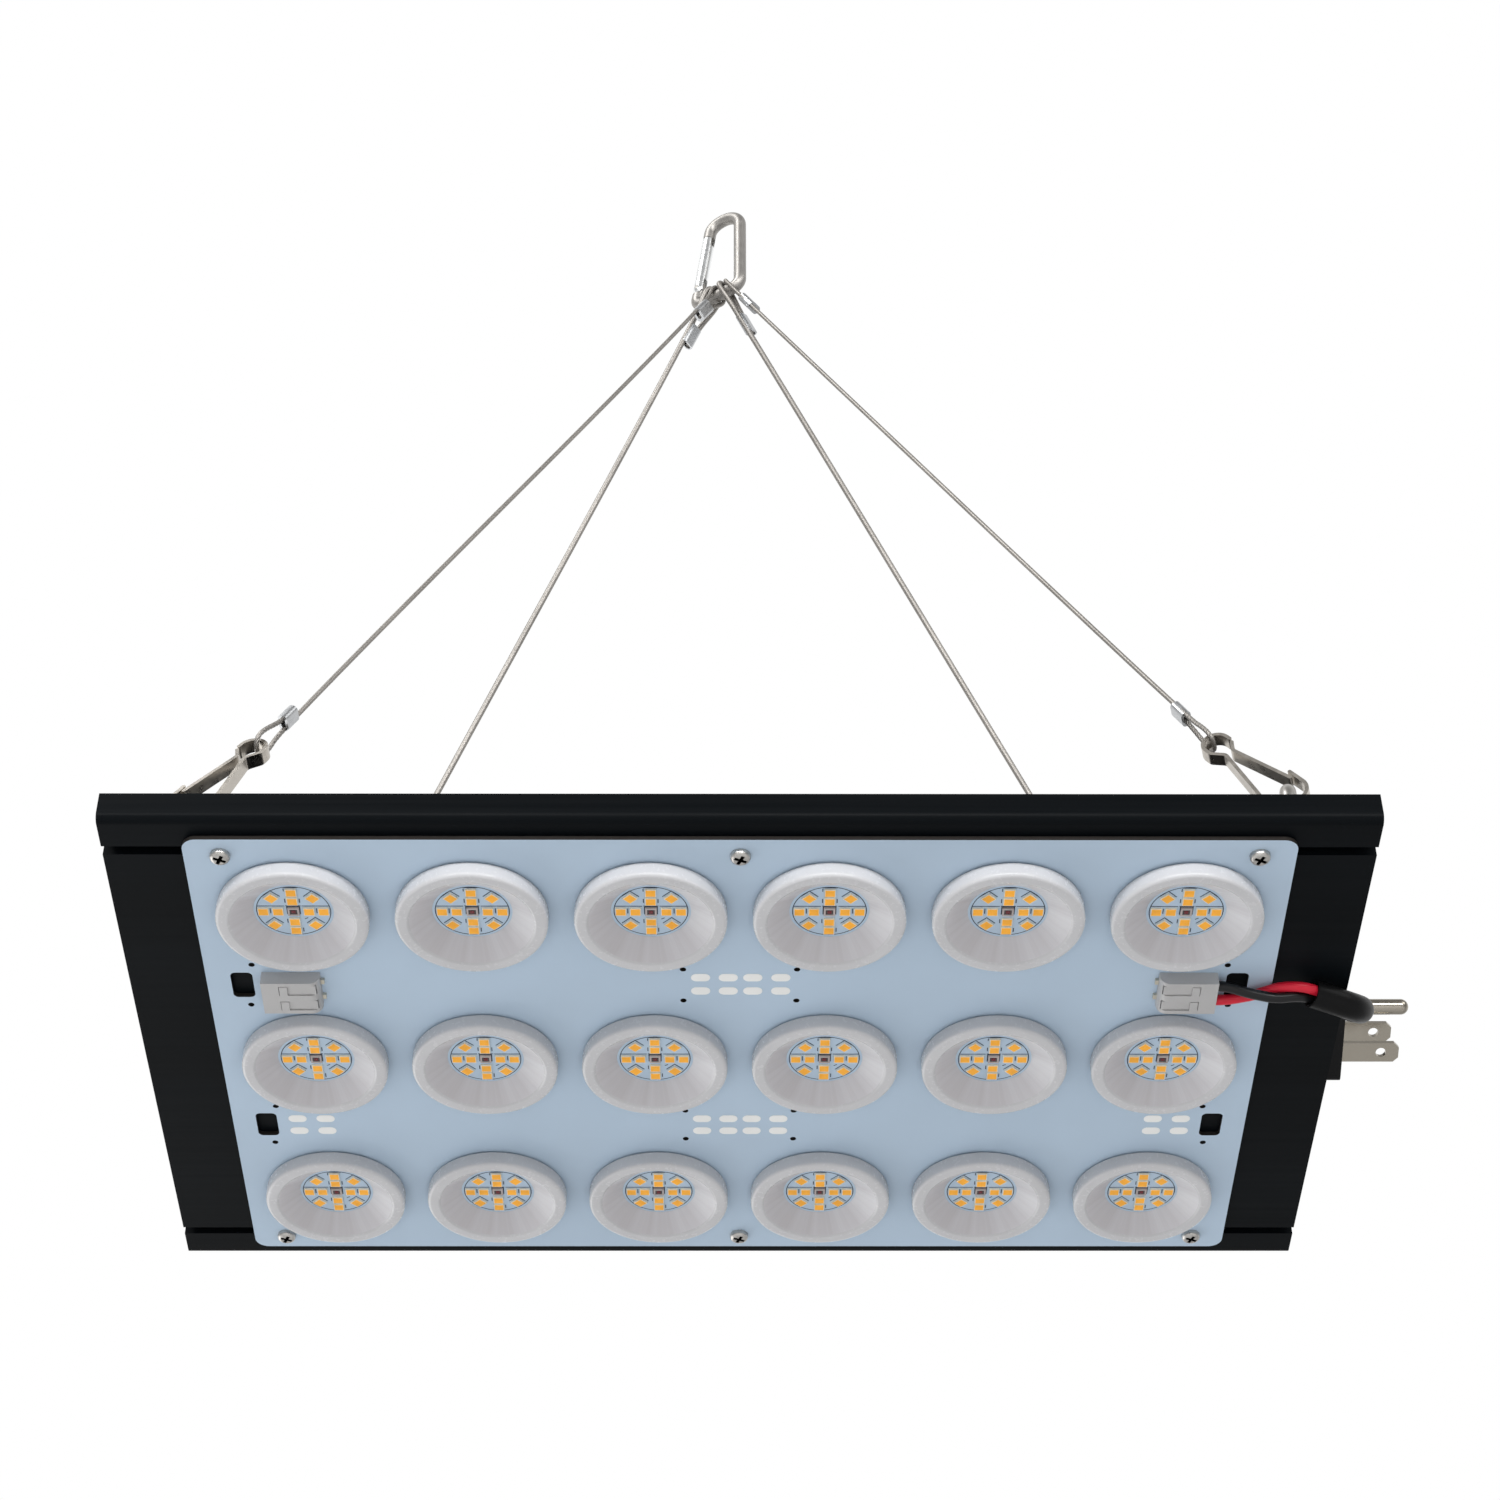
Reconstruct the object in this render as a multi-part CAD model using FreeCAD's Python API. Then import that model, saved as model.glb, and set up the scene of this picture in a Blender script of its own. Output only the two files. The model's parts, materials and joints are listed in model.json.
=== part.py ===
"""Hanging LED grow light: a finned aluminium panel with eighteen reflector cups, hung by four steel
ropes and snap hooks from one carabiner, with its driver, lead and mains cord on top.

Millimetres. The origin is the hang point, the inside of the carabiner's top bend. +Z is up,
X runs along the panel and +Y is away from the side where the lead enters the near terminal row.
"""
import FreeCAD, Part
import math
import os

V = FreeCAD.Vector

# ---- driving dimensions -------------------------------------------------------------------------
PANEL_X, PANEL_Y = 6.2, 0.9          # the panel's centre, beside the hang point
LED_FACE_Z = -384.0                  # light-emitting face of the LEDs, which look down

# LED board
BOARD_LENGTH, BOARD_WIDTH, BOARD_T, BOARD_CORNER = 300.0, 192.6, 1.4, 4.0
LED_HEIGHT, LED_SIZE = 0.6, 3.0
PAD_T = 0.2                          # thermal pad behind the board
BOARD_SCREW_X, BOARD_SCREW_Y = 140.0, 90.0
SLOT_X, SLOT_NEAR_Y, SLOT_FAR_Y, SLOT_SIZE = 140.0, -34.0, 32.3, (6.2, 11.0)
TOOLING_HOLE_R = 0.9
SCREW_TURN = 25.0                    # of the board screws' crosses

# reflector cups, six columns by three rows
COLUMNS, ROWS, COLUMN_PITCH, ROW_PITCH = 6, 3, 49.0, 66.6
CUP_R, CUP_RIM_R, CUP_FLOOR_R = 21.0, 17.2, 10.9
CUP_DEPTH, CUP_WALL, CUP_GAP = 5.0, 1.3, 0.5

# heat sink extrusion
SINK_LENGTH, SINK_WIDTH = 344.0, 206.0
PLATE_T, RAIL_HEIGHT, RAIL_WIDTH = 4.5, 9.0, 18.5
GROOVE_WIDTH, GROOVE_DEPTH, SINK_EDGE_R = 3.3, 6.5, 2.5
FIN_HEIGHT, FIN_T, FIN_PITCH, FIN_COUNT = 15.3, 1.6, 8.0, 17
CHANNEL_WIDTH, CHANNEL_DEPTH = 6.4, 9.0

# eyebolts at the panel's corners
EYE_X, EYE_Y, EYE_WIRE, EYE_RING_R, EYE_SHANK = 154.0, 73.5, 4.6, 6.8, 5.0
EYE_GRIP_Z = 36.2                    # centre of the ring's top wire, above the LED face
NUT_AF, NUT_T = 8.0, 4.0

# carabiner
CARABINER_WIRE, CARABINER_TURN = 4.5, -35.0
BAR_HALF, CARABINER_CORNER_R = 9.6, 3.2
SPINE_A, TOP_CORNER_B, CARABINER_TOP_R = 9.6, 43.0, 8.0    # in the carabiner's plane, from its bar
SHOULDER_B, SHOULDER_R = 41.0, 4.5
GATE_OPEN_DEG = 20.0                 # inwards, as far as the spine lets it

# wire ropes, (near, far) pairs
ROPE_D = {"near": 1.5, "far": 2.0}
UPPER_FERRULE, LOWER_FERRULE, FERRULE_WIDTH, FERRULE_T = 8.0, 6.0, 5.2, 3.2
LOWER_EYE = 11.0                     # the lower eye, from its centre to the ferrule

# snap hooks bent from strip
STRIP_T, STRIP_W, HOOK_RING_R = 1.1, 4.0, 3.9
HOOK_REACH, HOOK_BASE, HOOK_LIP = 31.0, 35.0, 6.1
HOOK_GATE_DEG = 10.0

# driver
DRIVER_LENGTH, DRIVER_WIDTH, DRIVER_HEIGHT, DRIVER_WALL = 150.0, 62.0, 36.0, 2.0
DRIVER_X = 40.0
CAP_T, FOOT_LENGTH, FOOT_T = 3.0, 11.0, 3.0

# mains cord, its coil and plug
CORD_D, COIL_X, COIL_Y, COIL_MEAN_R = 7.0, -115.0, 8.0, 38.5
COIL_RINGS, COIL_LAYERS = 3, 2
TIE_WIDTH, TIE_T, TIE_PLAY = 9.0, 0.8, 0.45
PLUG_ROLL = 24.0                     # the plug lies on its side, rolled by this much
PLUG_BODY_LENGTH, PLUG_BODY_T = 34.0, 21.0
BLADE_LENGTH, BLADE_W, BLADE_T, BLADE_SPACING = 17.7, 6.35, 1.5, 12.7
GROUND_LENGTH, GROUND_D, GROUND_OFFSET = 21.0, 4.78, 11.86
PLUG_FACE = V(182.4, 37.4, 35.6)     # middle between the blades, from the panel's centre

# lead to the board
LEAD_D, WIRE_D = 8.0, 3.0
TERMINAL_LENGTH, TERMINAL_WIDTH, TERMINAL_HEIGHT = 16.4, 13.4, 4.2
TERMINAL_X, TERMINAL_Y, POLE_PITCH = 126.0, -33.0, 6.6
LEVER_LENGTH, LEVER_WIDTH, LEVER_T = 10.2, 3.7, 1.0

# ---- derived levels, measured up from the LED face --------------------------------------------
BOARD_Z = LED_HEIGHT
SINK_Z = BOARD_Z + BOARD_T + PAD_T
PLATE_TOP = SINK_Z + PLATE_T
FIN_TOP = PLATE_TOP + FIN_HEIGHT

NODES = {}


# ---- small tools --------------------------------------------------------------------------------
def panel(x, y, z):
    """A point given from the centre of the panel's LED face."""
    return V(PANEL_X + x, PANEL_Y + y, LED_FACE_Z + z)


def add(name, shape):
    """Keep a sub-part under its node name."""
    NODES[name] = shape


def group(shapes):
    return shapes[0] if len(shapes) == 1 else Part.makeCompound(shapes)


def unit(vector):
    return V(vector) * (1.0 / vector.Length)


def box(x0, x1, y0, y1, z0, z1):
    """A box between limits given from the panel's centre."""
    return Part.makeBox(x1 - x0, y1 - y0, z1 - z0, panel(x0, y0, z0))


def cylinder(x, y, z0, z1, r):
    return Part.makeCylinder(r, z1 - z0, panel(x, y, z0))


def rounded_plate(length, width, z0, z1, r, x=0.0, y=0.0):
    """A flat plate with round corners, centred on x, y."""
    plate = box(x - length / 2, x + length / 2, y - width / 2, y + width / 2, z0, z1)
    upright = [e for e in plate.Edges if abs(e.tangentAt(e.FirstParameter).z) > 0.99]
    return plate.makeFillet(r, upright)


def placed(shape, origin, x_axis, y_axis, z_axis):
    """The shape moved from its own axes to the given ones."""
    m = FreeCAD.Matrix(
        x_axis.x, y_axis.x, z_axis.x, origin.x,
        x_axis.y, y_axis.y, z_axis.y, origin.y,
        x_axis.z, y_axis.z, z_axis.z, origin.z,
        0, 0, 0, 1)
    moved = shape.copy()
    moved.Placement = FreeCAD.Placement(m).multiply(moved.Placement)
    return moved


def rounded_wire(points, radii):
    """Straight runs joined by tangent arcs; radii has one value for each inner point."""
    edges, start = [], points[0]
    for before, corner, after, r in zip(points, points[1:], points[2:], radii):
        back, ahead = unit(before - corner), unit(after - corner)
        half_turn = (math.pi - back.getAngle(ahead)) / 2
        reach = r * math.tan(half_turn)
        a, b = corner + back * reach, corner + ahead * reach
        inward = unit(back + ahead)
        middle = corner + inward * (r / math.cos(half_turn) - r)
        if (a - start).Length > 1e-6:
            edges.append(Part.LineSegment(start, a).toShape())
        edges.append(Part.Arc(a, middle, b).toShape())
        start = b
    edges.append(Part.LineSegment(start, points[-1]).toShape())
    return Part.Wire(edges)


def cord_radii(points):
    """The largest arc that each corner's two runs allow."""
    radii = []
    for before, corner, after in zip(points, points[1:], points[2:]):
        shorter = min((corner - before).Length, (after - corner).Length)
        half_turn = (math.pi - (before - corner).getAngle(after - corner)) / 2
        radii.append(0.45 * shorter / math.tan(half_turn))
    return radii


def tube(name, points, diameter, radii=None):
    """A round cord along its route; prints its bends and checks its volume."""
    radii = radii or cord_radii(points)
    path = rounded_wire(points, radii)
    start = path.Edges[0]
    tangent = start.tangentAt(start.FirstParameter)
    circle = Part.Wire(Part.makeCircle(diameter / 2, points[0], tangent))
    solid = path.makePipeShell([circle], True, False)
    ideal = math.pi * diameter ** 2 / 4 * path.Length
    print("%-22s length %.0f mm, radii %s, volume / ideal %.4f"
          % (name, path.Length, " ".join("%.0f" % r for r in radii), abs(solid.Volume) / ideal))
    return solid


def strip(points, radii, width, origin, u, v):
    """A bent strip: a centreline in the u, v plane, thickened and given its width across."""
    w = u.cross(v)
    flat = [V(a, b, 0) for a, b in points]
    outline = rounded_wire(flat, radii).makeOffset2D(STRIP_T / 2, 0, False, False, False)
    face = Part.Face(outline)
    solid = face.extrude(V(0, 0, width))
    solid.translate(V(0, 0, -width / 2))
    return placed(solid, origin, u, v, w)


# ---- heat sink ----------------------------------------------------------------------------------
def make_heat_sink():
    """Constant profile along X: plate, two edge rails with a screw groove, fins and two channels."""
    half_l, half_w = SINK_LENGTH / 2, SINK_WIDTH / 2
    rail_in = half_w - RAIL_WIDTH
    body = box(-half_l, half_l, -half_w, half_w, SINK_Z, PLATE_TOP)
    rails = [box(-half_l, half_l, min(s * rail_in, s * half_w), max(s * rail_in, s * half_w),
                 SINK_Z, SINK_Z + RAIL_HEIGHT) for s in (-1, 1)]
    channel_y = driver_screw_y()
    fins = []
    for i in range(FIN_COUNT):
        y = (i - (FIN_COUNT - 1) / 2) * FIN_PITCH
        t = CHANNEL_WIDTH if abs(abs(y) - channel_y) < 0.1 else FIN_T
        fins.append(box(-half_l, half_l, y - t / 2, y + t / 2, PLATE_TOP, FIN_TOP))
    body = body.multiFuse(rails + fins).removeSplitter()
    outer = [e for e in body.Edges if e.Length > SINK_LENGTH - 1
             and abs(abs(e.CenterOfMass.y - PANEL_Y) - half_w) < 0.01
             and abs(e.CenterOfMass.z - LED_FACE_Z - SINK_Z) < 0.01]
    body = body.makeFillet(SINK_EDGE_R, outer)
    cuts = []
    for s in (-1, 1):
        y = s * BOARD_SCREW_Y
        cuts.append(box(-half_l - 1, half_l + 1, y - GROOVE_WIDTH / 2, y + GROOVE_WIDTH / 2,
                        SINK_Z - 1, SINK_Z + GROOVE_DEPTH))
        y = s * channel_y
        cuts.append(box(-half_l - 1, half_l + 1, y - GROOVE_WIDTH / 2, y + GROOVE_WIDTH / 2,
                        FIN_TOP - CHANNEL_DEPTH, FIN_TOP + 1))
        cuts += [cylinder(x, s * EYE_Y, SINK_Z + 1, PLATE_TOP + 1, EYE_SHANK / 2)
                 for x in (-EYE_X, EYE_X)]
    return body.cut(Part.makeCompound(cuts))


def driver_screw_y():
    """The driver's foot screws go into the channels, which take a fin's place."""
    return 3 * FIN_PITCH


# ---- LED board ----------------------------------------------------------------------------------
def cup_centres(row):
    y = (row - (ROWS - 1) / 2) * ROW_PITCH
    return [((c - (COLUMNS - 1) / 2) * COLUMN_PITCH, y) for c in range(COLUMNS)]


def all_cups():
    return [p for row in range(ROWS) for p in cup_centres(row)]


def board_slots(margin, z0, z1):
    """The four cable slots through the board, wider by the margin."""
    w, h = SLOT_SIZE
    return [rounded_plate(w + margin, h + margin, z0, z1, 1.5, x, y)
            for x in (-SLOT_X, SLOT_X) for y in (SLOT_NEAR_Y, SLOT_FAR_Y)]


def tooling_holes(r, z0, z1):
    """Locating holes by the slots and round the two groups of solder pads."""
    near = [(s * (SLOT_X - 3.4 - k), SLOT_NEAR_Y + dy) for s in (-1, 1)
            for k, dy in ((0, -9.0), (-2.0, 9.0))]
    far = [(s * (SLOT_X - 3.4 - k), SLOT_FAR_Y + dy) for s in (-1, 1)
           for k, dy in ((0, -9.0), (-2.0, 9.0))]
    middle = [(x, y) for x in (-16.0, 16.0) for y in (-41.0, -27.0, 25.5, 39.5)]
    return [cylinder(x, y, z0, z1, r) for x, y in near + far + middle]


def screw_places():
    return [(x, y) for x in (-BOARD_SCREW_X, 0.0, BOARD_SCREW_X)
            for y in (-BOARD_SCREW_Y, BOARD_SCREW_Y)]


def make_board():
    top = BOARD_Z + BOARD_T
    board = rounded_plate(BOARD_LENGTH, BOARD_WIDTH, BOARD_Z, top, BOARD_CORNER)
    holes = board_slots(0, BOARD_Z - 1, top + 1)
    holes += tooling_holes(TOOLING_HOLE_R, BOARD_Z - 1, top + 1)
    holes += [cylinder(x, y, BOARD_Z - 1, top + 1, 1.7) for x, y in screw_places()]
    return board.cut(Part.makeCompound(holes))


def make_thermal_pad():
    z0, z1 = BOARD_Z + BOARD_T, SINK_Z
    pad = rounded_plate(BOARD_LENGTH - 12, 2 * BOARD_SCREW_Y - 10, z0, z1, BOARD_CORNER)
    holes = board_slots(2, z0 - 1, z1 + 1) + tooling_holes(1.6, z0 - 1, z1 + 1)
    return pad.cut(Part.makeCompound(holes))


def make_solder_pads():
    """Tinned pads: two groups of eight in the middle and one of four by each far slot."""
    places = [(x, y) for x in (-11.1, -3.3, 3.6, 11.5) for y in (-37.4, -31.4, 29.4, 35.4)]
    places += [(s * x, y) for s in (-1, 1) for x in (122.5, 130.8) for y in (29.4, 35.4)]
    return group([rounded_plate(5.4, 3.3, BOARD_Z - 0.08, BOARD_Z, 1.6, x, y) for x, y in places])


def led_places():
    """Offsets of one cup's twelve white LEDs: a cross of eight and four turned by 45 degrees."""
    arms = [(s * r, 0.0, 0.0) for s in (-1, 1) for r in (4.26, 8.27)]
    arms += [(0.0, s * r, 0.0) for s in (-1, 1) for r in (4.35, 8.0)]
    return arms + [(sx * 5.65, sy * 5.65, 45.0) for sx in (-1, 1) for sy in (-1, 1)]


def led(x, y, turn, size):
    chip = box(x - size / 2, x + size / 2, y - size / 2, y + size / 2, 0, LED_HEIGHT)
    if turn:
        chip.rotate(panel(x, y, 0), V(0, 0, 1), turn)
    return chip


def make_reflector(x, y):
    """A shallow white cup: outer wall, flat rim and a cone down to the board, hollow behind."""
    rim, lip = BOARD_Z - CUP_DEPTH, 0.9
    profile = [
        (CUP_FLOOR_R, BOARD_Z), (CUP_RIM_R, rim + 0.35), (CUP_RIM_R + 0.5, rim), (CUP_R - lip, rim),
        (CUP_R - 0.25, rim + 0.3), (CUP_R, rim + lip), (CUP_R, BOARD_Z - CUP_GAP),
        (CUP_R - CUP_WALL, BOARD_Z - CUP_GAP), (CUP_R - CUP_WALL, rim + CUP_WALL),
        (CUP_RIM_R + 0.9, rim + CUP_WALL), (CUP_FLOOR_R + 1.5, BOARD_Z)]
    points = [panel(x + r, y, z) for r, z in profile]
    face = Part.Face(Part.makePolygon(points + points[:1]))
    return face.revolve(panel(x, y, 0), V(0, 0, 1), 360)


def make_board_screw(x, y):
    """Cross-head pan screw, head under the board, into the heat sink's groove."""
    head = cylinder(x, y, BOARD_Z - 1.9, BOARD_Z, 2.8)
    low = [e for e in head.Edges if abs(e.CenterOfMass.z - LED_FACE_Z - (BOARD_Z - 1.9)) < 0.01]
    head = head.makeFillet(1.2, low)
    shank = cylinder(x, y, BOARD_Z, BOARD_Z + 7.5, 1.6)
    cross = Part.makeCompound([box(x - a, x + a, y - b, y + b, BOARD_Z - 2.5, BOARD_Z - 0.4)
                               for a, b in ((1.8, 0.5), (0.5, 1.8))])
    cross.rotate(panel(x, y, 0), V(0, 0, 1), SCREW_TURN)
    return head.fuse(shank).removeSplitter().cut(cross)


# ---- push-in terminals on the board -------------------------------------------------------------
def terminal_frame(side):
    """Origin at the middle of the housing's foot, local x towards the wire entries."""
    return panel(side * TERMINAL_X, TERMINAL_Y, BOARD_Z)


def terminal_place(shape, side):
    """From local axes, x to the wires, z down from the board, to the panel."""
    x_axis, z_axis = V(side, 0, 0), V(0, 0, -1)
    return placed(shape, terminal_frame(side), x_axis, z_axis.cross(x_axis), z_axis)


def local_box(x0, x1, y0, y1, z0, z1):
    return Part.makeBox(x1 - x0, y1 - y0, z1 - z0, V(x0, y0, z0))


def make_terminal(side):
    """Two-pole housing with a curved back, two wire funnels and two lever recesses."""
    half_l, half_w, h = TERMINAL_LENGTH / 2, TERMINAL_WIDTH / 2, TERMINAL_HEIGHT
    block = local_box(-half_l, half_l, -half_w, half_w, 0, h)
    back = [e for e in block.Edges if abs(e.CenterOfMass.x + half_l) < 0.01
            and abs(e.CenterOfMass.z - h) < 0.01]
    block = block.makeFillet(3.0, back)
    cuts = []
    for s in (-1, 1):
        y = s * POLE_PITCH / 2
        cuts.append(Part.makeCylinder(WIRE_D / 2 + 0.2, 8.5, V(half_l - 7.5, y, 1.95), V(1, 0, 0)))
        cuts.append(local_box(-half_l + 1.2, half_l - 6.5, y - 1.5, y + 1.5, 0.35, 1.6))
        cuts.append(local_box(-half_l + 0.9, half_l - 4.9, y - LEVER_WIDTH / 2 - 0.15,
                              y + LEVER_WIDTH / 2 + 0.15, h - 2.2, h + 1))
    return terminal_place(block.cut(Part.makeCompound(cuts)), side)


def make_lever(side, pole):
    """Release lever of one pole: a small tongue with a raised grip at its free end."""
    half_l, h, y = TERMINAL_LENGTH / 2, TERMINAL_HEIGHT, pole * POLE_PITCH / 2
    x0 = -half_l + 1.1
    tongue = local_box(x0, x0 + LEVER_LENGTH, y - LEVER_WIDTH / 2, y + LEVER_WIDTH / 2,
                       h - 0.35 - LEVER_T, h - 0.35)
    grip = local_box(x0 + LEVER_LENGTH - 2.2, x0 + LEVER_LENGTH, y - LEVER_WIDTH / 2,
                     y + LEVER_WIDTH / 2, h - 0.35, h + 0.15)
    return terminal_place(tongue.fuse(grip).removeSplitter(), side)


def make_contacts():
    """Spring contacts: a strip along each chamber and a solder tab out of the housing's back."""
    half_l, contacts = TERMINAL_LENGTH / 2, []
    for side in (-1, 1):
        for pole in (-1, 1):
            y = pole * POLE_PITCH / 2
            chamber = local_box(-half_l + 1.3, half_l - 6.6, y - 1.4, y + 1.4, 0.45, 0.85)
            blade = local_box(-half_l + 1.3, -half_l + 1.7, y - 1.4, y + 1.4, 0.45, 1.5)
            contacts.append(terminal_place(chamber.fuse(blade).removeSplitter(), side))
            tab = local_box(-half_l - 1.0, -half_l - 0.02, y - 0.9, y + 0.9, 0.0, 0.9)
            contacts.append(terminal_place(tab, side))
    return group(contacts)


# ---- carabiner ----------------------------------------------------------------------------------
TURN = math.radians(CARABINER_TURN)
BAR_AXIS = V(math.cos(TURN), math.sin(TURN), 0)
UP = V(0, 0, 1)
GATE_FOOT = (-8.25, 8.9)             # the gate's pin, in the carabiner's plane
GATE_HEAD = (-4.3, 34.3)             # the gate's free end
SHOULDER_A = GATE_HEAD[0] + (GATE_HEAD[0] - GATE_FOOT[0]) / (GATE_HEAD[1] - GATE_FOOT[1]) \
    * (SHOULDER_B - GATE_HEAD[1])
TOP_SLOPE = math.atan2(TOP_CORNER_B - SHOULDER_B, SPINE_A - SHOULDER_A)
APEX_A = SPINE_A - CARABINER_TOP_R   # the top bend's highest point
APEX_B = TOP_CORNER_B + CARABINER_TOP_R * (1 - math.tan((math.pi / 2 + TOP_SLOPE) / 2))
BAR_CENTRE = V(0, 0, CARABINER_WIRE / 2) - BAR_AXIS * APEX_A - UP * APEX_B


def in_carabiner(shape):
    """From local x along the bar, y up and z across the carabiner's plane."""
    return placed(shape, BAR_CENTRE, BAR_AXIS, UP, BAR_AXIS.cross(UP))


def flat_tab(start, end, thickness, width):
    """A flat tongue along a line in the carabiner's plane."""
    along = V(end[0] - start[0], end[1] - start[1], 0)
    x_axis = unit(along)
    tab = local_box(0, along.Length, -width / 2, width / 2, -thickness / 2, thickness / 2)
    return placed(tab, V(start[0], start[1], 0), x_axis, V(0, 0, 1).cross(x_axis), V(0, 0, 1))


def make_carabiner_body():
    """Round wire bent from the gate's foot, under the bar, up the spine and over to the nose."""
    r = CARABINER_WIRE / 2
    foot, head = V(*GATE_FOOT, 0), V(*GATE_HEAD, 0)
    lean = unit(head - foot)
    low, high = foot - lean * 3.2, head + lean * 0.35
    route = [low, V(-BAR_HALF - 0.3, 0, 0), V(BAR_HALF, 0, 0), V(SPINE_A, TOP_CORNER_B, 0),
             V(SHOULDER_A, SHOULDER_B, 0), high]
    radii = [CARABINER_CORNER_R, CARABINER_CORNER_R, CARABINER_TOP_R, SHOULDER_R]
    path = rounded_wire(route, radii)
    circle = Part.Wire(Part.makeCircle(r, low, path.Edges[0].tangentAt(path.Edges[0].FirstParameter)))
    body = path.makePipeShell([circle], True, False)
    tang_end, tongue_end = foot + lean * 2.2, head - lean * 2.8
    body = body.fuse(flat_tab((low.x, low.y), (tang_end.x, tang_end.y), 1.7, 3.6))
    body = body.fuse(flat_tab((high.x, high.y), (tongue_end.x, tongue_end.y), 1.7, 2.4))
    hole = Part.makeCylinder(0.8, 10, V(foot.x, foot.y, -5))
    return in_carabiner(body.cut(hole).removeSplitter())


def make_carabiner_gate():
    """Straight gate, forked over the body's tang at its foot and over the nose at its head."""
    r = CARABINER_WIRE / 2 + 0.05
    foot, head = V(*GATE_FOOT, 0), V(*GATE_HEAD, 0)
    lean = unit(head - foot)
    length = (head - foot).Length
    rod = Part.makeCylinder(r, length, foot, lean).fuse(Part.makeSphere(r, foot))
    across = V(0, 0, 1).cross(lean)
    slots = [placed(local_box(a, b, -4, 4, -1.05, 1.05), foot, lean, across, V(0, 0, 1))
             for a, b in ((-4, 4.2), (length - 3.6, length + 1))]
    hole = Part.makeCylinder(0.8, 10, V(foot.x, foot.y, -5))
    return in_carabiner(rod.cut(Part.makeCompound(slots + [hole])).removeSplitter())


def make_carabiner_pin():
    foot = V(*GATE_FOOT, -CARABINER_WIRE / 2 + 0.1)
    return in_carabiner(Part.makeCylinder(0.75, CARABINER_WIRE - 0.2, foot))


# ---- ropes, ferrules and snap hooks -------------------------------------------------------------
# name: side in X, side in Y, place along the carabiner's bar, length of the upper eye, the way that
# the hook's gate looks, how much deeper its eyebolt is screwed in, and by how many degrees the
# hook hangs flatter than its rope
HANGERS = {
    "far_left": (-1, 1, -3.2, 14.0, V(-0.86, 0.17, 0.48), 0.0, 7.0),
    "near_left": (-1, -1, -0.3, 8.5, V(-0.86, 0.20, 0.45), 4.0, 4.0),
    "far_right": (1, 1, 3.6, 12.5, V(0.86, 0.17, 0.48), 0.0, 7.0),
    "near_right": (1, -1, 6.5, 9.5, V(0.86, -0.17, 0.48), 0.0, 7.0),
}


def hanger_frame(name):
    """Where one rope pulls: its grip on the eyebolt, its place on the bar and the hook's axes."""
    sx, sy, along, _, gate_side, deeper, flatter = HANGERS[name]
    grip = panel(sx * EYE_X, sy * EYE_Y, EYE_GRIP_Z - deeper)
    bar = BAR_CENTRE + BAR_AXIS * along
    straight = unit(grip - bar)
    outward = unit(gate_side - straight * gate_side.dot(straight))
    w = straight.cross(outward)
    tilt = math.radians(flatter)
    u = straight * math.cos(tilt) + outward * math.sin(tilt)
    ring = grip - u * HOOK_REACH
    return {"grip": grip, "bar": bar, "u": u, "v": w.cross(u), "w": w, "ring": ring,
            "up": unit(bar - ring), "rope": ROPE_D["near" if sy < 0 else "far"]}


def eye_route(centre, away, across, radius, mouth, half_gap):
    """Corners of an eye: from the ferrule's mouth, four corners round a circle and back."""
    far = math.hypot(mouth, half_gap)
    flare = math.asin(radius / far) - math.atan2(half_gap, mouth)
    wrap = math.pi + 2 * flare
    steps, reach = 4, radius / math.cos(wrap / 8)
    corners = [centre - away * mouth + across * half_gap]
    for i in range(steps):
        angle = math.pi / 2 + flare - wrap * (i + 0.5) / steps
        corners.append(centre + away * (reach * math.cos(angle)) + across * (reach * math.sin(angle)))
    corners.append(centre - away * mouth - across * half_gap)
    return corners


def rope_route(name):
    """The whole rope: upper tail, eye round the bar, standing part, eye through the hook, tail."""
    f, mouth = hanger_frame(name), HANGERS[name][3]
    up, d = f["up"], f["rope"]
    down = up * -1
    half_gap = d / 2 + 0.1
    normal = unit(BAR_AXIS - up * BAR_AXIS.dot(up))
    across = normal.cross(up)
    bar_r = CARABINER_WIRE / 2 / BAR_AXIS.dot(normal) + 0.45 + d / 2
    upper = eye_route(f["bar"], up, across, bar_r, mouth, half_gap)
    upper.reverse()
    low_across = unit(f["w"] - up * f["w"].dot(up))
    low_r = STRIP_W / 2 + d / 2 + 1.05
    low_centre = f["ring"] + up * (HOOK_RING_R - STRIP_T / 2 - 0.9 - d / 2 + low_r)
    lower = eye_route(low_centre, down, low_across, low_r, LOWER_EYE, half_gap)
    tail_up = upper[0] + down * (UPPER_FERRULE - 0.6)
    tail_down = lower[-1] + up * (LOWER_FERRULE - 0.6)
    return [tail_up] + upper + lower + [tail_down]


def make_ferrule(mouth_a, mouth_b, away, rope, length):
    """Oval crimped sleeve over the rope's two strands, from the eye's mouth along away."""
    across = unit(mouth_b - mouth_a)
    centre = (mouth_a + mouth_b) * 0.5
    sleeve = local_box(0, length, -FERRULE_WIDTH / 2, FERRULE_WIDTH / 2, -FERRULE_T / 2,
                       FERRULE_T / 2)
    long_edges = [e for e in sleeve.Edges if abs(e.Length - length) < 1e-6]
    sleeve = sleeve.makeFillet(FERRULE_T * 0.42, long_edges)
    half = (mouth_b - mouth_a).Length / 2
    bore = local_box(-1, length + 1, -half, half, -rope / 2, rope / 2)
    bores = [Part.makeCylinder(rope / 2, length + 2, V(-1, s * half, 0), V(1, 0, 0))
             for s in (-1, 1)]
    sleeve = sleeve.cut(bore.multiFuse(bores))
    return placed(sleeve, centre, away, across, away.cross(across))


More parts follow.
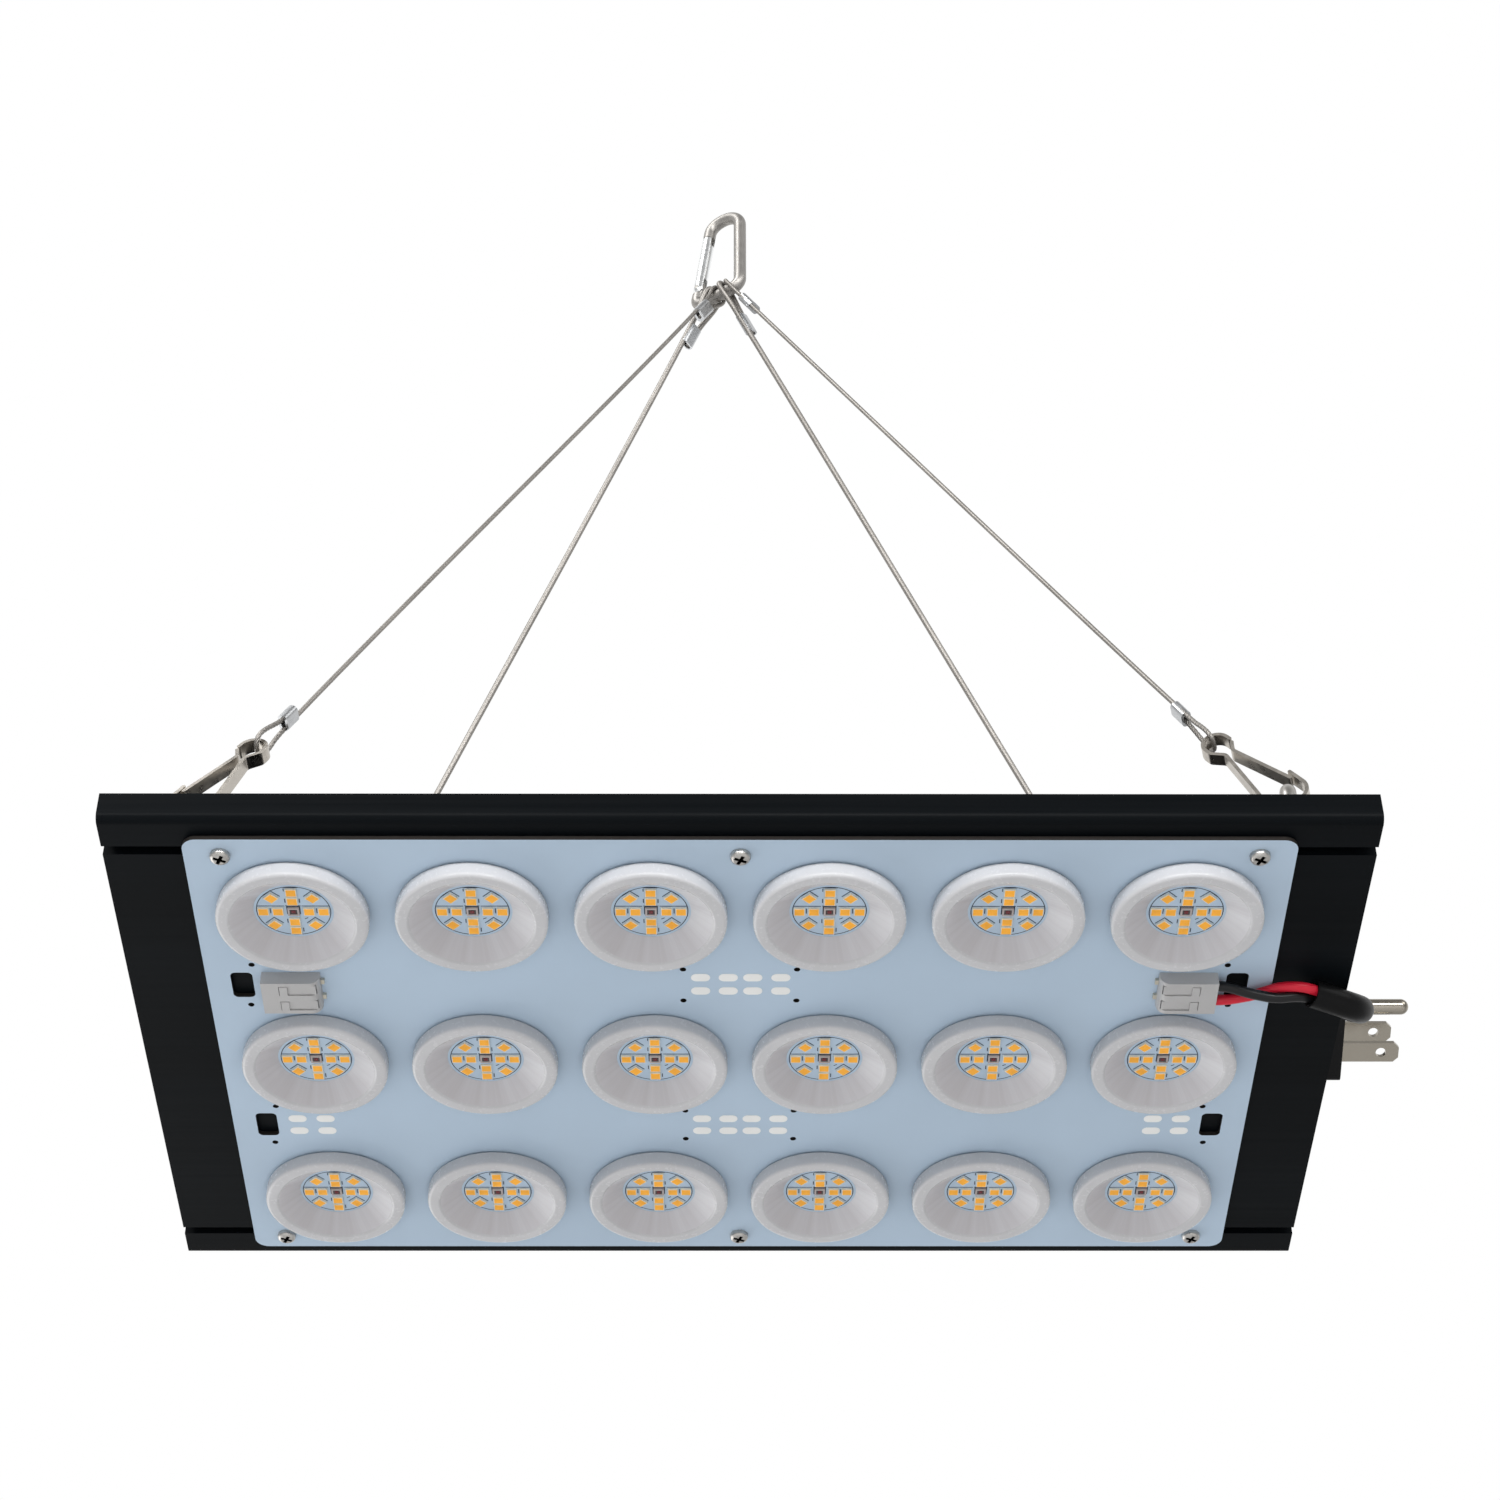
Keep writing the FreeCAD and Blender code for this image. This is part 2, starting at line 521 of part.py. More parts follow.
def make_hook_body(f):
    """Strip hook: ring for the rope, long leg, round base over the eyebolt and a lip."""
    r = HOOK_RING_R
    points = [(1.3, r), (-r, r), (-r, -r), (1.9, -r), (5.6, -1.25), (HOOK_BASE, -7.9),
              (HOOK_BASE, HOOK_LIP), (HOOK_BASE - 10.3, HOOK_LIP)]
    return strip(points, [r, r - 0.05, 1.4, 1.8, 5.0, 4.8], STRIP_W, f["ring"], f["u"], f["v"])


HOOK_PIVOT = (2.7, 3.6)              # where the gate strip flexes, in the hook's u, v plane


def make_hook_gate(f):
    """Spring strip that closes the hook from inside the lip."""
    points = [(2.9, 3.35), (5.6, 1.35), (HOOK_BASE - 8.4, 4.6)]
    return strip(points, [1.6], STRIP_W, f["ring"], f["u"], f["v"])


def make_eyebolt(name):
    """Ring on a threaded shank; the ring stands across the hook."""
    sx, sy = HANGERS[name][:2]
    w = hanger_frame(name)["w"]
    across = unit(V(w.x, w.y, 0))
    ring_z = EYE_GRIP_Z - HANGERS[name][5] - EYE_RING_R
    centre = panel(sx * EYE_X, sy * EYE_Y, ring_z)
    ring = Part.makeTorus(EYE_RING_R, EYE_WIRE / 2, centre, across.cross(UP))
    shank_top = ring_z - EYE_RING_R
    shank = cylinder(sx * EYE_X, sy * EYE_Y, SINK_Z + 1, shank_top, EYE_SHANK / 2)
    return ring.fuse(shank).removeSplitter()


def make_nut(name):
    sx, sy = HANGERS[name][:2]
    radius = NUT_AF / 2 / math.cos(math.pi / 6)
    corners = [panel(sx * EYE_X + radius * math.cos(math.radians(60 * k)),
                     sy * EYE_Y + radius * math.sin(math.radians(60 * k)), PLATE_TOP)
               for k in range(6)]
    prism = Part.Face(Part.makePolygon(corners + corners[:1])).extrude(V(0, 0, NUT_T))
    return prism.cut(cylinder(sx * EYE_X, sy * EYE_Y, PLATE_TOP - 1, PLATE_TOP + NUT_T + 1,
                              EYE_SHANK / 2))


# ---- driver -------------------------------------------------------------------------------------
def rounded_bar(x0, x1, half_w, z0, z1, r):
    """A bar along X with round long edges."""
    bar = box(x0, x1, -half_w, half_w, z0, z1)
    return bar.makeFillet(r, [e for e in bar.Edges if abs(e.Length - (x1 - x0)) < 1e-6])


DRIVER_X0, DRIVER_X1 = DRIVER_X - DRIVER_LENGTH / 2, DRIVER_X + DRIVER_LENGTH / 2
DRIVER_Z0, DRIVER_Z1 = FIN_TOP, FIN_TOP + DRIVER_HEIGHT
INLET_Y, INLET_Z = -16.0, FIN_TOP + 18.0


def make_driver_case():
    """Ribbed extruded tube, open at both ends."""
    x0, x1, half_w = DRIVER_X0 + CAP_T, DRIVER_X1 - CAP_T, DRIVER_WIDTH / 2
    t = DRIVER_WALL
    outer = rounded_bar(x0, x1, half_w, DRIVER_Z0, DRIVER_Z1, 4.0)
    inner = rounded_bar(x0 - 1, x1 + 1, half_w - t, DRIVER_Z0 + t, DRIVER_Z1 - t, 2.5)
    case = outer.cut(inner)
    ribs = [box(x0 - 1, x1 + 1, y - 0.9, y + 0.9, DRIVER_Z1 - 0.9, DRIVER_Z1 + 1)
            for y in [(k - 5.5) * 4.2 for k in range(12)]]
    return case.cut(Part.makeCompound(ribs))


def cap_screw_places():
    """The four corners, as y and z, where a cap is screwed on."""
    return [(y, z) for y in (-26.2, 26.2) for z in (DRIVER_Z0 + 8.0, DRIVER_Z1 - 4.8)]


def make_driver_cap(side):
    """End cap with a mounting foot and the hole of its strain relief."""
    x_out = DRIVER_X1 if side > 0 else DRIVER_X0
    x_in = x_out - side * CAP_T
    lo, hi = sorted((x_out, x_in))
    cap = rounded_bar(lo, hi, DRIVER_WIDTH / 2, DRIVER_Z0, DRIVER_Z1, 4.0)
    foot_lo, foot_hi = sorted((x_in, x_out + side * FOOT_LENGTH))
    foot = box(foot_lo, foot_hi, -DRIVER_WIDTH / 2 + 1, DRIVER_WIDTH / 2 - 1, DRIVER_Z0,
               DRIVER_Z0 + FOOT_T)
    cap = cap.fuse(foot).removeSplitter()
    holes = [Part.makeCylinder(4.2, CAP_T + 2, panel(lo - 1, INLET_Y, INLET_Z), V(1, 0, 0))]
    foot_x = x_out + side * FOOT_LENGTH * 0.55
    holes += [cylinder(foot_x, s * driver_screw_y(), DRIVER_Z0 - 1, DRIVER_Z0 + FOOT_T + 1, 1.8)
              for s in (-1, 1)]
    holes += [Part.makeCylinder(1.25, CAP_T + 2, panel(lo - 1, y, z), V(1, 0, 0))
              for y, z in cap_screw_places()]
    return cap.cut(Part.makeCompound(holes))


def make_cap_screws():
    screws = []
    for side, x in ((-1, DRIVER_X0), (1, DRIVER_X1)):
        for y, z in cap_screw_places():
            head = Part.makeCone(2.3, 1.5, 1.3, panel(x, y, z), V(side, 0, 0))
            shank = Part.makeCylinder(1.2, CAP_T - 0.1, panel(x, y, z), V(-side, 0, 0))
            screws.append(head.fuse(shank).removeSplitter())
    return group(screws)


def make_foot_screws():
    screws = []
    for side, x_out in ((-1, DRIVER_X0), (1, DRIVER_X1)):
        x = x_out + side * FOOT_LENGTH * 0.55
        for s in (-1, 1):
            y, z = s * driver_screw_y(), DRIVER_Z0 + FOOT_T
            head = Part.makeCone(3.0, 2.0, 1.9, panel(x, y, z))
            shank = cylinder(x, y, z - FOOT_T - 7.0, z, 1.6)
            screws.append(head.fuse(shank).removeSplitter())
    return group(screws)


def make_driver_board():
    z = DRIVER_Z0 + DRIVER_WALL + 3.0
    board = box(DRIVER_X0 + 6, DRIVER_X1 - 6, -27, 27, z, z + 1.6)
    legs = [cylinder(x, y, DRIVER_Z0 + DRIVER_WALL, z, 2.5)
            for x in (DRIVER_X0 + 12, DRIVER_X1 - 12) for y in (-22, 22)]
    return board.multiFuse(legs).removeSplitter()


def make_transformer():
    """Wound ferrite transformer on the driver's board."""
    z, x = DRIVER_Z0 + DRIVER_WALL + 4.6, DRIVER_X + 5
    core = box(x - 15, x + 15, -14, 14, z, z + 22)
    window = box(x - 9, x + 9, -15, 15, z + 4, z + 18)
    winding = box(x - 8.8, x + 8.8, -17, 17, z + 4.2, z + 17.8)
    return core.cut(window).fuse(winding).removeSplitter()


def make_capacitors():
    z = DRIVER_Z0 + DRIVER_WALL + 4.6
    places = [(DRIVER_X - 45, 12, 9.0, 23.0), (DRIVER_X - 45, -10, 6.5, 19.0),
              (DRIVER_X + 46, 10, 8.0, 22.0), (DRIVER_X + 46, -12, 5.0, 16.0)]
    return group([cylinder(x, y, z, z + h, r) for x, y, r, h in places])


# ---- mains cord, coil, plug ---------------------------------------------------------------------
def strain_relief(start, along, length, big_r, small_r, bore_r, collar=3.0):
    """Tapered sleeve along a cord, with a collar against the housing."""
    cone = Part.makeCone(big_r, small_r, length - collar, start + along * collar, along)
    ring = Part.makeCylinder(big_r + 0.8, collar, start, along)
    bore = Part.makeCylinder(bore_r, length + 2, start - along, along)
    return ring.fuse(cone).removeSplitter().cut(bore)


COIL_OUT = COIL_MEAN_R + (COIL_RINGS - 1) / 2 * CORD_D      # radius of the outermost turn
COIL_BASE = FIN_TOP + TIE_T
# from the driver's strain relief down to the coil's outer turn, upper layer
CORD_TO_COIL = [(-67, -16, 40.0), (-78, -16.6, 39.6), (-90, -20.5, 37.6), (-101, -27.5, 34.6),
                (-110, -35.2, 32.9)]
# from the coil's outer turn, lower layer, along the fins behind the driver to the plug
CORD_TO_PLUG = [(-112, 53.5, 25.6), (-92, 53.0, 25.7), (-62, 49.0, 25.7), (-20, 50.5, 25.7),
                (28, 54.0, 25.7), (70, 50.0, 26.2), (95, 42.0, 30.0), (111, 35.4, 35.0),
                (124.5, 33.2, 37.5)]


def route(points):
    return [panel(*p) for p in points]


def make_coil():
    """Outer shape of the tied coil of cord."""
    half = COIL_RINGS * CORD_D / 2
    height = COIL_LAYERS * CORD_D
    outer = cylinder(COIL_X, COIL_Y, COIL_BASE, COIL_BASE + height, COIL_MEAN_R + half)
    return outer.cut(cylinder(COIL_X, COIL_Y, COIL_BASE - 1, COIL_BASE + height + 1,
                              COIL_MEAN_R - half))


def make_cord_tie():
    """Hook-and-loop strap round the coil's bundle, with its tail hanging outside."""
    half, height = COIL_RINGS * CORD_D / 2 + TIE_PLAY, COIL_LAYERS * CORD_D
    x0, x1 = COIL_X - TIE_WIDTH / 2, COIL_X + TIE_WIDTH / 2
    y, z0, z1 = COIL_Y - COIL_MEAN_R, COIL_BASE, COIL_BASE + height
    band = box(x0, x1, y - half - TIE_T, y + half + TIE_T, z0 - TIE_T, z1 + TIE_T)
    inside = box(x0 - 1, x1 + 1, y - half, y + half, z0, z1)
    tail = box(x0, x1, y - half - 2 * TIE_T, y - half - TIE_T, z1 - 11, z1 - 1)
    return band.cut(inside).fuse(tail).removeSplitter()


ROLL = math.radians(PLUG_ROLL)
TO_GROUND = V(0, -math.cos(ROLL), math.sin(ROLL))
TO_LOWER = V(0, -math.sin(ROLL), -math.cos(ROLL))


def in_plug(shape):
    """From local x out of the plug, y towards the ground pin and z towards the lower blade."""
    return placed(shape, panel(*PLUG_FACE), V(1, 0, 0), TO_GROUND, TO_LOWER)


def make_plug_pins():
    pins, root = [], 5.0
    for s in (-1, 1):
        z = s * BLADE_SPACING / 2
        blade = local_box(-root, BLADE_LENGTH, -BLADE_W / 2, BLADE_W / 2, z - BLADE_T / 2,
                          z + BLADE_T / 2)
        tip = [e for e in blade.Edges if abs(e.CenterOfMass.x - BLADE_LENGTH) < 1e-6
               and abs(e.Length - BLADE_T) < 1e-6]
        blade = blade.makeChamfer(1.5, tip)
        pins.append(blade.cut(Part.makeCylinder(1.55, 6, V(BLADE_LENGTH - 5.4, 0, z - 3))))
    r = GROUND_D / 2
    shank = Part.makeCylinder(r, GROUND_LENGTH - r, V(0, GROUND_OFFSET, 0), V(1, 0, 0))
    shank = shank.fuse(Part.makeCylinder(r - 0.5, root, V(-root, GROUND_OFFSET, 0), V(1, 0, 0)))
    nose = Part.makeSphere(r, V(GROUND_LENGTH - r, GROUND_OFFSET, 0))
    pins.append(shank.fuse(nose).removeSplitter())
    return group([in_plug(p) for p in pins])


def make_plug_body():
    """Moulded three-pin plug: square front, stepped grip and a tapered tail for the cord."""
    t, y0, y1 = PLUG_BODY_T, -8.6, GROUND_OFFSET + 6.0
    front = local_box(-14, 0, y0, y1, -t / 2, t / 2)
    front = front.makeFillet(2.2, [e for e in front.Edges if abs(e.Length - 14) < 1e-6])
    yc = (y0 + y1) / 2
    grip = local_box(-PLUG_BODY_LENGTH, -13, yc - 9.5, yc + 9.5, -8.0, 8.0)
    grip = grip.makeFillet(3.5, [e for e in grip.Edges if abs(e.Length - 21) < 1e-6])
    tail = Part.makeCone(6.3, 4.4, 24, V(-PLUG_BODY_LENGTH, yc, 0), V(-1, 0, 0))
    bore = Part.makeCylinder(CORD_D / 2, 22, V(-PLUG_BODY_LENGTH - 25, yc, 0), V(1, 0, 0))
    body = front.fuse([grip, tail]).removeSplitter().cut(bore)
    return in_plug(body).cut(NODES["plug_pins"])


# ---- lead from the driver round the panel's end to the near right terminal ---------------------
LEAD_ROUTE = [(118, -16, 40.0), (146, -16, 40.0), (162, 3, 38.5), (176.8, 11, 29.5),
              (176.8, -27, -3.0), (161.0, -34, -2.3)]
LEAD_RADII = [16.0, 20.0, 9.0, 11.0]
BLACK_ROUTE = [(162.3, -31.6, -2.3), (156.8, -34.0, -3.3), (150.5, -34.7, -4.7), (143, -36.0, -3.9),
               (136.8, -36.3, -1.6), (129.6, -36.3, -1.35)]
RED_ROUTE = [(163.6, -34.6, -2.3), (158.1, -37.0, -2.2), (152, -36.0, -1.5), (145, -31.6, -1.1),
             (137, -29.7, -1.35), (129.6, -29.7, -1.25)]


def make_sheath():
    """The lead's sheath, bored at its cut end for the two wires."""
    sheath = tube("lead_sheath", route(LEAD_ROUTE), LEAD_D, LEAD_RADII)
    end, before = panel(*LEAD_ROUTE[-1]), panel(*LEAD_ROUTE[-2])
    bore = Part.makeCylinder(LEAD_D / 2 - 0.7, 4.0, end, unit(before - end))
    return sheath.cut(bore)


# ---- all sub-parts ------------------------------------------------------------------------------
def build():
    add("heat_sink", make_heat_sink())
    add("thermal_pad", make_thermal_pad())
    add("led_board", make_board())
    add("solder_pads", make_solder_pads())
    add("white_leds", group([led(x + dx, y + dy, turn, LED_SIZE)
                             for x, y in all_cups() for dx, dy, turn in led_places()]))
    add("red_leds", group([led(x, y, 0.0, LED_SIZE + 0.2) for x, y in all_cups()]))
    for row, name in enumerate(("near", "middle", "far")):
        add("reflectors_%s_row" % name, group([make_reflector(x, y) for x, y in cup_centres(row)]))
    add("board_screws", group([make_board_screw(x, y) for x, y in screw_places()]))

    for side, name in ((-1, "left"), (1, "right")):
        add("terminal_" + name, make_terminal(side))
        for pole, row in ((side, "near"), (-side, "far")):
            add("release_lever_%s_%s" % (name, row), make_lever(side, pole))
    add("terminal_contacts", make_contacts())

    add("carabiner_body", make_carabiner_body())
    add("carabiner_gate", make_carabiner_gate())
    add("carabiner_gate_pin", make_carabiner_pin())

    upper, lower = [], []
    for name in HANGERS:
        f, points = hanger_frame(name), rope_route(name)
        add("rope_" + name, tube("rope_" + name, points, f["rope"]))
        upper.append(make_ferrule(points[1], points[6], f["up"] * -1, f["rope"], UPPER_FERRULE))
        lower.append(make_ferrule(points[7], points[12], f["up"], f["rope"], LOWER_FERRULE))
        add("snap_hook_" + name, make_hook_body(f))
        add("hook_gate_" + name, make_hook_gate(f))
    add("upper_ferrules", group(upper))
    add("lower_ferrules", group(lower))
    add("eyebolts", group([make_eyebolt(name) for name in HANGERS]))
    add("eyebolt_nuts", group([make_nut(name) for name in HANGERS]))

    add("driver_case", make_driver_case())
    add("driver_cap_left", make_driver_cap(-1))
    add("driver_cap_right", make_driver_cap(1))
    add("driver_cap_screws", make_cap_screws())
    add("driver_foot_screws", make_foot_screws())
    add("driver_circuit_board", make_driver_board())
    add("driver_transformer", make_transformer())
    add("driver_capacitors", make_capacitors())

    along = V(-1, 0, 0)
    add("mains_strain_relief", strain_relief(panel(DRIVER_X0, INLET_Y, INLET_Z), along, 32.0,
                                             6.2, 4.5, CORD_D / 2))
    add("mains_cord", group([tube("mains_cord to coil", route(CORD_TO_COIL), CORD_D),
                             tube("mains_cord to plug", route(CORD_TO_PLUG), CORD_D)]))
    add("mains_cord_coil", make_coil())
    add("cord_tie", make_cord_tie())
    add("plug_pins", make_plug_pins())
    add("plug_body", make_plug_body())

    add("lead_strain_relief", strain_relief(panel(DRIVER_X1, INLET_Y, INLET_Z), V(1, 0, 0), 24.0,
                                            6.8, 5.0, LEAD_D / 2))
    add("lead_sheath", make_sheath())
    add("black_wire", tube("black_wire", route(BLACK_ROUTE), WIRE_D))
    add("red_wire", tube("red_wire", route(RED_ROUTE), WIRE_D))


def report():
    """Print the values that the record repeats."""
    print("panel centre", PANEL_X, PANEL_Y, "LED face", LED_FACE_Z, "bar centre", BAR_CENTRE)
    foot = BAR_CENTRE + BAR_AXIS * GATE_FOOT[0] + UP * GATE_FOOT[1]
    print("bar axis", BAR_AXIS, "gate pin", foot, "gate axis", BAR_AXIS.cross(UP))
    for name in HANGERS:
        f = hanger_frame(name)
        pivot = f["ring"] + f["u"] * HOOK_PIVOT[0] + f["v"] * HOOK_PIVOT[1]
        print("hook", name, "pivot", pivot, "axis", f["w"], "grip", f["grip"])
    for side in (-1, 1):
        print("lever pivot x", PANEL_X + side * (TERMINAL_X - TERMINAL_LENGTH / 2 + 1.1),
              "z", LED_FACE_Z + BOARD_Z - TERMINAL_HEIGHT + 0.85)
    ground = panel(*PLUG_FACE) + TO_GROUND * GROUND_OFFSET
    print("ground pin root", ground)
    print("gates open inwards by", GATE_OPEN_DEG, "and", HOOK_GATE_DEG, "degrees")


build()
os.makedirs("parts", exist_ok=True)
for node, shape in NODES.items():
    if not shape.isValid():
        print("INVALID", node)
    shape.exportStep("parts/%s.step" % node)
print(len(NODES), "nodes")
report()
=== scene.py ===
"""Looks of the hanging LED grow light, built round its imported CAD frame.

Metres, except that panel() takes millimetres and ropes, cups, LEDs, print and coil are laid out in them.
"""
import json
import math

import bmesh
import bpy
from mathutils import Matrix, Vector


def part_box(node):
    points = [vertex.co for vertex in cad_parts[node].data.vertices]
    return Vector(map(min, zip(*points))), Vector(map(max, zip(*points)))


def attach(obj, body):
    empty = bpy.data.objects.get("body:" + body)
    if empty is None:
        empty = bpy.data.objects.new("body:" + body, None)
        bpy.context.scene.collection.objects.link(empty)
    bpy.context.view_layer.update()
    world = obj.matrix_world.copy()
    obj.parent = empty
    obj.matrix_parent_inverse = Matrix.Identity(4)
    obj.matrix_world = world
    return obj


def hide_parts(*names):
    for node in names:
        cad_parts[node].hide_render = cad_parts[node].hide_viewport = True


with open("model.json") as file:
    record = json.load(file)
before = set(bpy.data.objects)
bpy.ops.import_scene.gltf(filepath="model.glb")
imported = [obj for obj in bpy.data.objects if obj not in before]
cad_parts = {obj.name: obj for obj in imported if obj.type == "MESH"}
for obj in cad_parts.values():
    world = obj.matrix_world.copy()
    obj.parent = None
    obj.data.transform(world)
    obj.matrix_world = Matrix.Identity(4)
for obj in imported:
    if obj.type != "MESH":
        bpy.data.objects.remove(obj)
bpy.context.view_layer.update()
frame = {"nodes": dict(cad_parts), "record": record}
NODES = frame["nodes"]


# ---- places read from the frame ----------------------------------------------------------------
BOARD_LOW, BOARD_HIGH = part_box("led_board")
BOARD_FACE = BOARD_LOW.z                          # the board's lower face, which carries the LEDs
LED_HEIGHT = 0.6                                  # in millimetres, as are all the LEDs' sizes
PANEL = (BOARD_LOW + BOARD_HIGH) / 2
PANEL.z = BOARD_FACE - LED_HEIGHT / 1000          # centre of the LED face, origin of the panel

COLUMNS, ROWS, COLUMN_PITCH, ROW_PITCH = 6, 3, 0.049, 0.0666
SCREW_PITCH, SCREW_HEAD = (0.140, 0.180), 0.0019  # grid of the board screws, height of their heads
CROSS_REACH, CROSS_START = 0.00195, 0.0003        # a cross's radius, and where its shade starts


def panel(x, y, z):
    """A point given in millimetres from the centre of the panel's LED face."""
    return PANEL + Vector((x, y, z)) / 1000


def cup_centres():
    return [((c - (COLUMNS - 1) / 2) * COLUMN_PITCH * 1000, (r - (ROWS - 1) / 2) * ROW_PITCH * 1000)
            for r in range(ROWS) for c in range(COLUMNS)]


# ---- camera ------------------------------------------------------------------------------------
CAMERA_FROM_PANEL = (-2.1, -754.9, -572.3)        # millimetres, below and in front of the panel
CAMERA_LOOK = Vector((0.0053, 0.7361, 0.6769))
CAMERA_ROLL = math.radians(-0.23)
CAMERA_LENS, CAMERA_SENSOR = 78.2, 36.0


def make_camera():
    data = bpy.data.cameras.new("camera")
    data.lens = CAMERA_LENS
    data.sensor_width = CAMERA_SENSOR
    data.clip_start, data.clip_end = 0.01, 50.0
    camera = bpy.data.objects.new("camera", data)
    bpy.context.scene.collection.objects.link(camera)
    turn = CAMERA_LOOK.to_track_quat("-Z", "Y").to_matrix().to_4x4()
    camera.matrix_world = Matrix.Translation(panel(*CAMERA_FROM_PANEL)) @ turn \
        @ Matrix.Rotation(CAMERA_ROLL, 4, "Z")
    bpy.context.scene.camera = camera


# ---- material tools ----------------------------------------------------------------------------
def new_material(name, colour, roughness, metallic=0.0, specular=0.5):
    """A Principled material; returns it with its nodes, links and shader."""
    material = bpy.data.materials.new(name)
    material.use_nodes = True
    nodes, links = material.node_tree.nodes, material.node_tree.links
    shader = nodes["Principled BSDF"]
    shader.inputs["Base Color"].default_value = (*colour, 1)
    shader.inputs["Roughness"].default_value = roughness
    shader.inputs["Metallic"].default_value = metallic
    shader.inputs["Specular IOR Level"].default_value = specular
    material.diffuse_color = (*colour, 1)
    return material, nodes, links, shader


def coordinates(nodes, kind="Object"):
    return nodes.new("ShaderNodeTexCoord").outputs[kind]


def place(nodes, links, scale=(1, 1, 1)):
    """Coordinates in the part's frame, stretched by scale."""
    mapping = nodes.new("ShaderNodeMapping")
    mapping.inputs["Scale"].default_value = scale
    links.new(coordinates(nodes), mapping.inputs["Vector"])
    return mapping.outputs["Vector"]


def axis_of(nodes, links, vector, axis):
    split = nodes.new("ShaderNodeSeparateXYZ")
    links.new(vector, split.inputs["Vector"])
    return split.outputs[axis]


def maths(nodes, links, kind, operation, *values):
    """Outputs of a maths node whose inputs are other nodes' outputs or plain numbers."""
    node = nodes.new(kind)
    node.operation = operation
    for socket, value in zip(node.inputs, values):
        if isinstance(value, bpy.types.NodeSocket):
            links.new(value, socket)
        else:
            socket.default_value = value
    return node.outputs


def scalar_maths(nodes, links, operation, *values):
    return maths(nodes, links, "ShaderNodeMath", operation, *values)["Value"]


def vector_maths(nodes, links, operation, *values, output="Vector"):
    return maths(nodes, links, "ShaderNodeVectorMath", operation, *values)[output]


def noise(nodes, links, vector, scale, detail=3.0, roughness=0.5):
    texture = nodes.new("ShaderNodeTexNoise")
    texture.inputs["Scale"].default_value = scale
    texture.inputs["Detail"].default_value = detail
    texture.inputs["Roughness"].default_value = roughness
    links.new(vector, texture.inputs["Vector"])
    return texture.outputs["Fac"]


def spread(nodes, links, value, low, high, start=0.3, end=0.7):
    """A value moved from start..end to low..high."""
    remap = nodes.new("ShaderNodeMapRange")
    remap.inputs["From Min"].default_value = start
    remap.inputs["From Max"].default_value = end
    remap.inputs["To Min"].default_value = low
    remap.inputs["To Max"].default_value = high
    links.new(value, remap.inputs["Value"])
    return remap.outputs["Result"]


def colour_ramp(nodes, links, value, stops):
    ramp = nodes.new("ShaderNodeValToRGB")
    elements = ramp.color_ramp.elements
    while len(elements) < len(stops):
        elements.new(0.5)
    for element, (position, colour) in zip(elements, stops):
        element.position = position
        element.color = (*colour, 1)
    links.new(value, ramp.inputs["Fac"])
    return ramp.outputs["Color"]


def bump(nodes, links, shader, height, strength, distance):
    node = nodes.new("ShaderNodeBump")
    node.inputs["Strength"].default_value = strength
    node.inputs["Distance"].default_value = distance
    links.new(height, node.inputs["Height"])
    links.new(node.outputs["Normal"], shader.inputs["Normal"])


def mixed(nodes, links, factor, below, above):
    """The colour output below where the factor is 0, the plain colour above where it is 1."""
    mix = nodes.new("ShaderNodeMix")
    mix.data_type = "RGBA"
    links.new(factor, mix.inputs["Factor"])
    links.new(below, mix.inputs["A"])
    mix.inputs["B"].default_value = (*above, 1)
    return mix.outputs["Result"]


def tinted(colour, factor):
    return tuple(c * factor for c in colour)


PATCH = 18                                        # broad patches are this many times a grain's size


def mottled(name, colour, roughness, metallic=0.0, specular=0.5, grain=400.0, vary=0.12,
            rough_vary=0.08, relief=0.15, depth=0.00005, stretch=(1, 1, 1)):
    """A material whose colour, gloss and relief vary a little with a fine grain."""
    material, nodes, links, shader = new_material(name, colour, roughness, metallic, specular)
    vector = place(nodes, links, stretch)
    fine, broad = noise(nodes, links, vector, grain), noise(nodes, links, vector, grain / PATCH, 2.0)
    links.new(colour_ramp(nodes, links, broad, [(0.35, tinted(colour, 1 - vary)),
                                                (0.65, tinted(colour, 1 + vary))]),
              shader.inputs["Base Color"])
    links.new(spread(nodes, links, fine, roughness - rough_vary, roughness + rough_vary),
              shader.inputs["Roughness"])
    bump(nodes, links, shader, fine, relief, depth)
    return material


# ---- materials ---------------------------------------------------------------------------------
def black_anodised():
    """Extruded and anodised: drawn lines along X, nearly black with a cool sheen."""
    return mottled("black_anodised_aluminium", (0.0020, 0.0030, 0.0040), 0.44, specular=0.055, grain=500.0,
                   vary=0.25, rough_vary=0.07, relief=0.25, depth=0.00004, stretch=(0.02, 1, 1))


def upright_faces(nodes, links):
    """1 on faces that stand upright, such as a hole's wall or the board's edge, else 0."""
    height = axis_of(nodes, links, coordinates(nodes, "Normal"), "Z")
    return scalar_maths(nodes, links, "COMPARE", height, 0.0, 0.5)


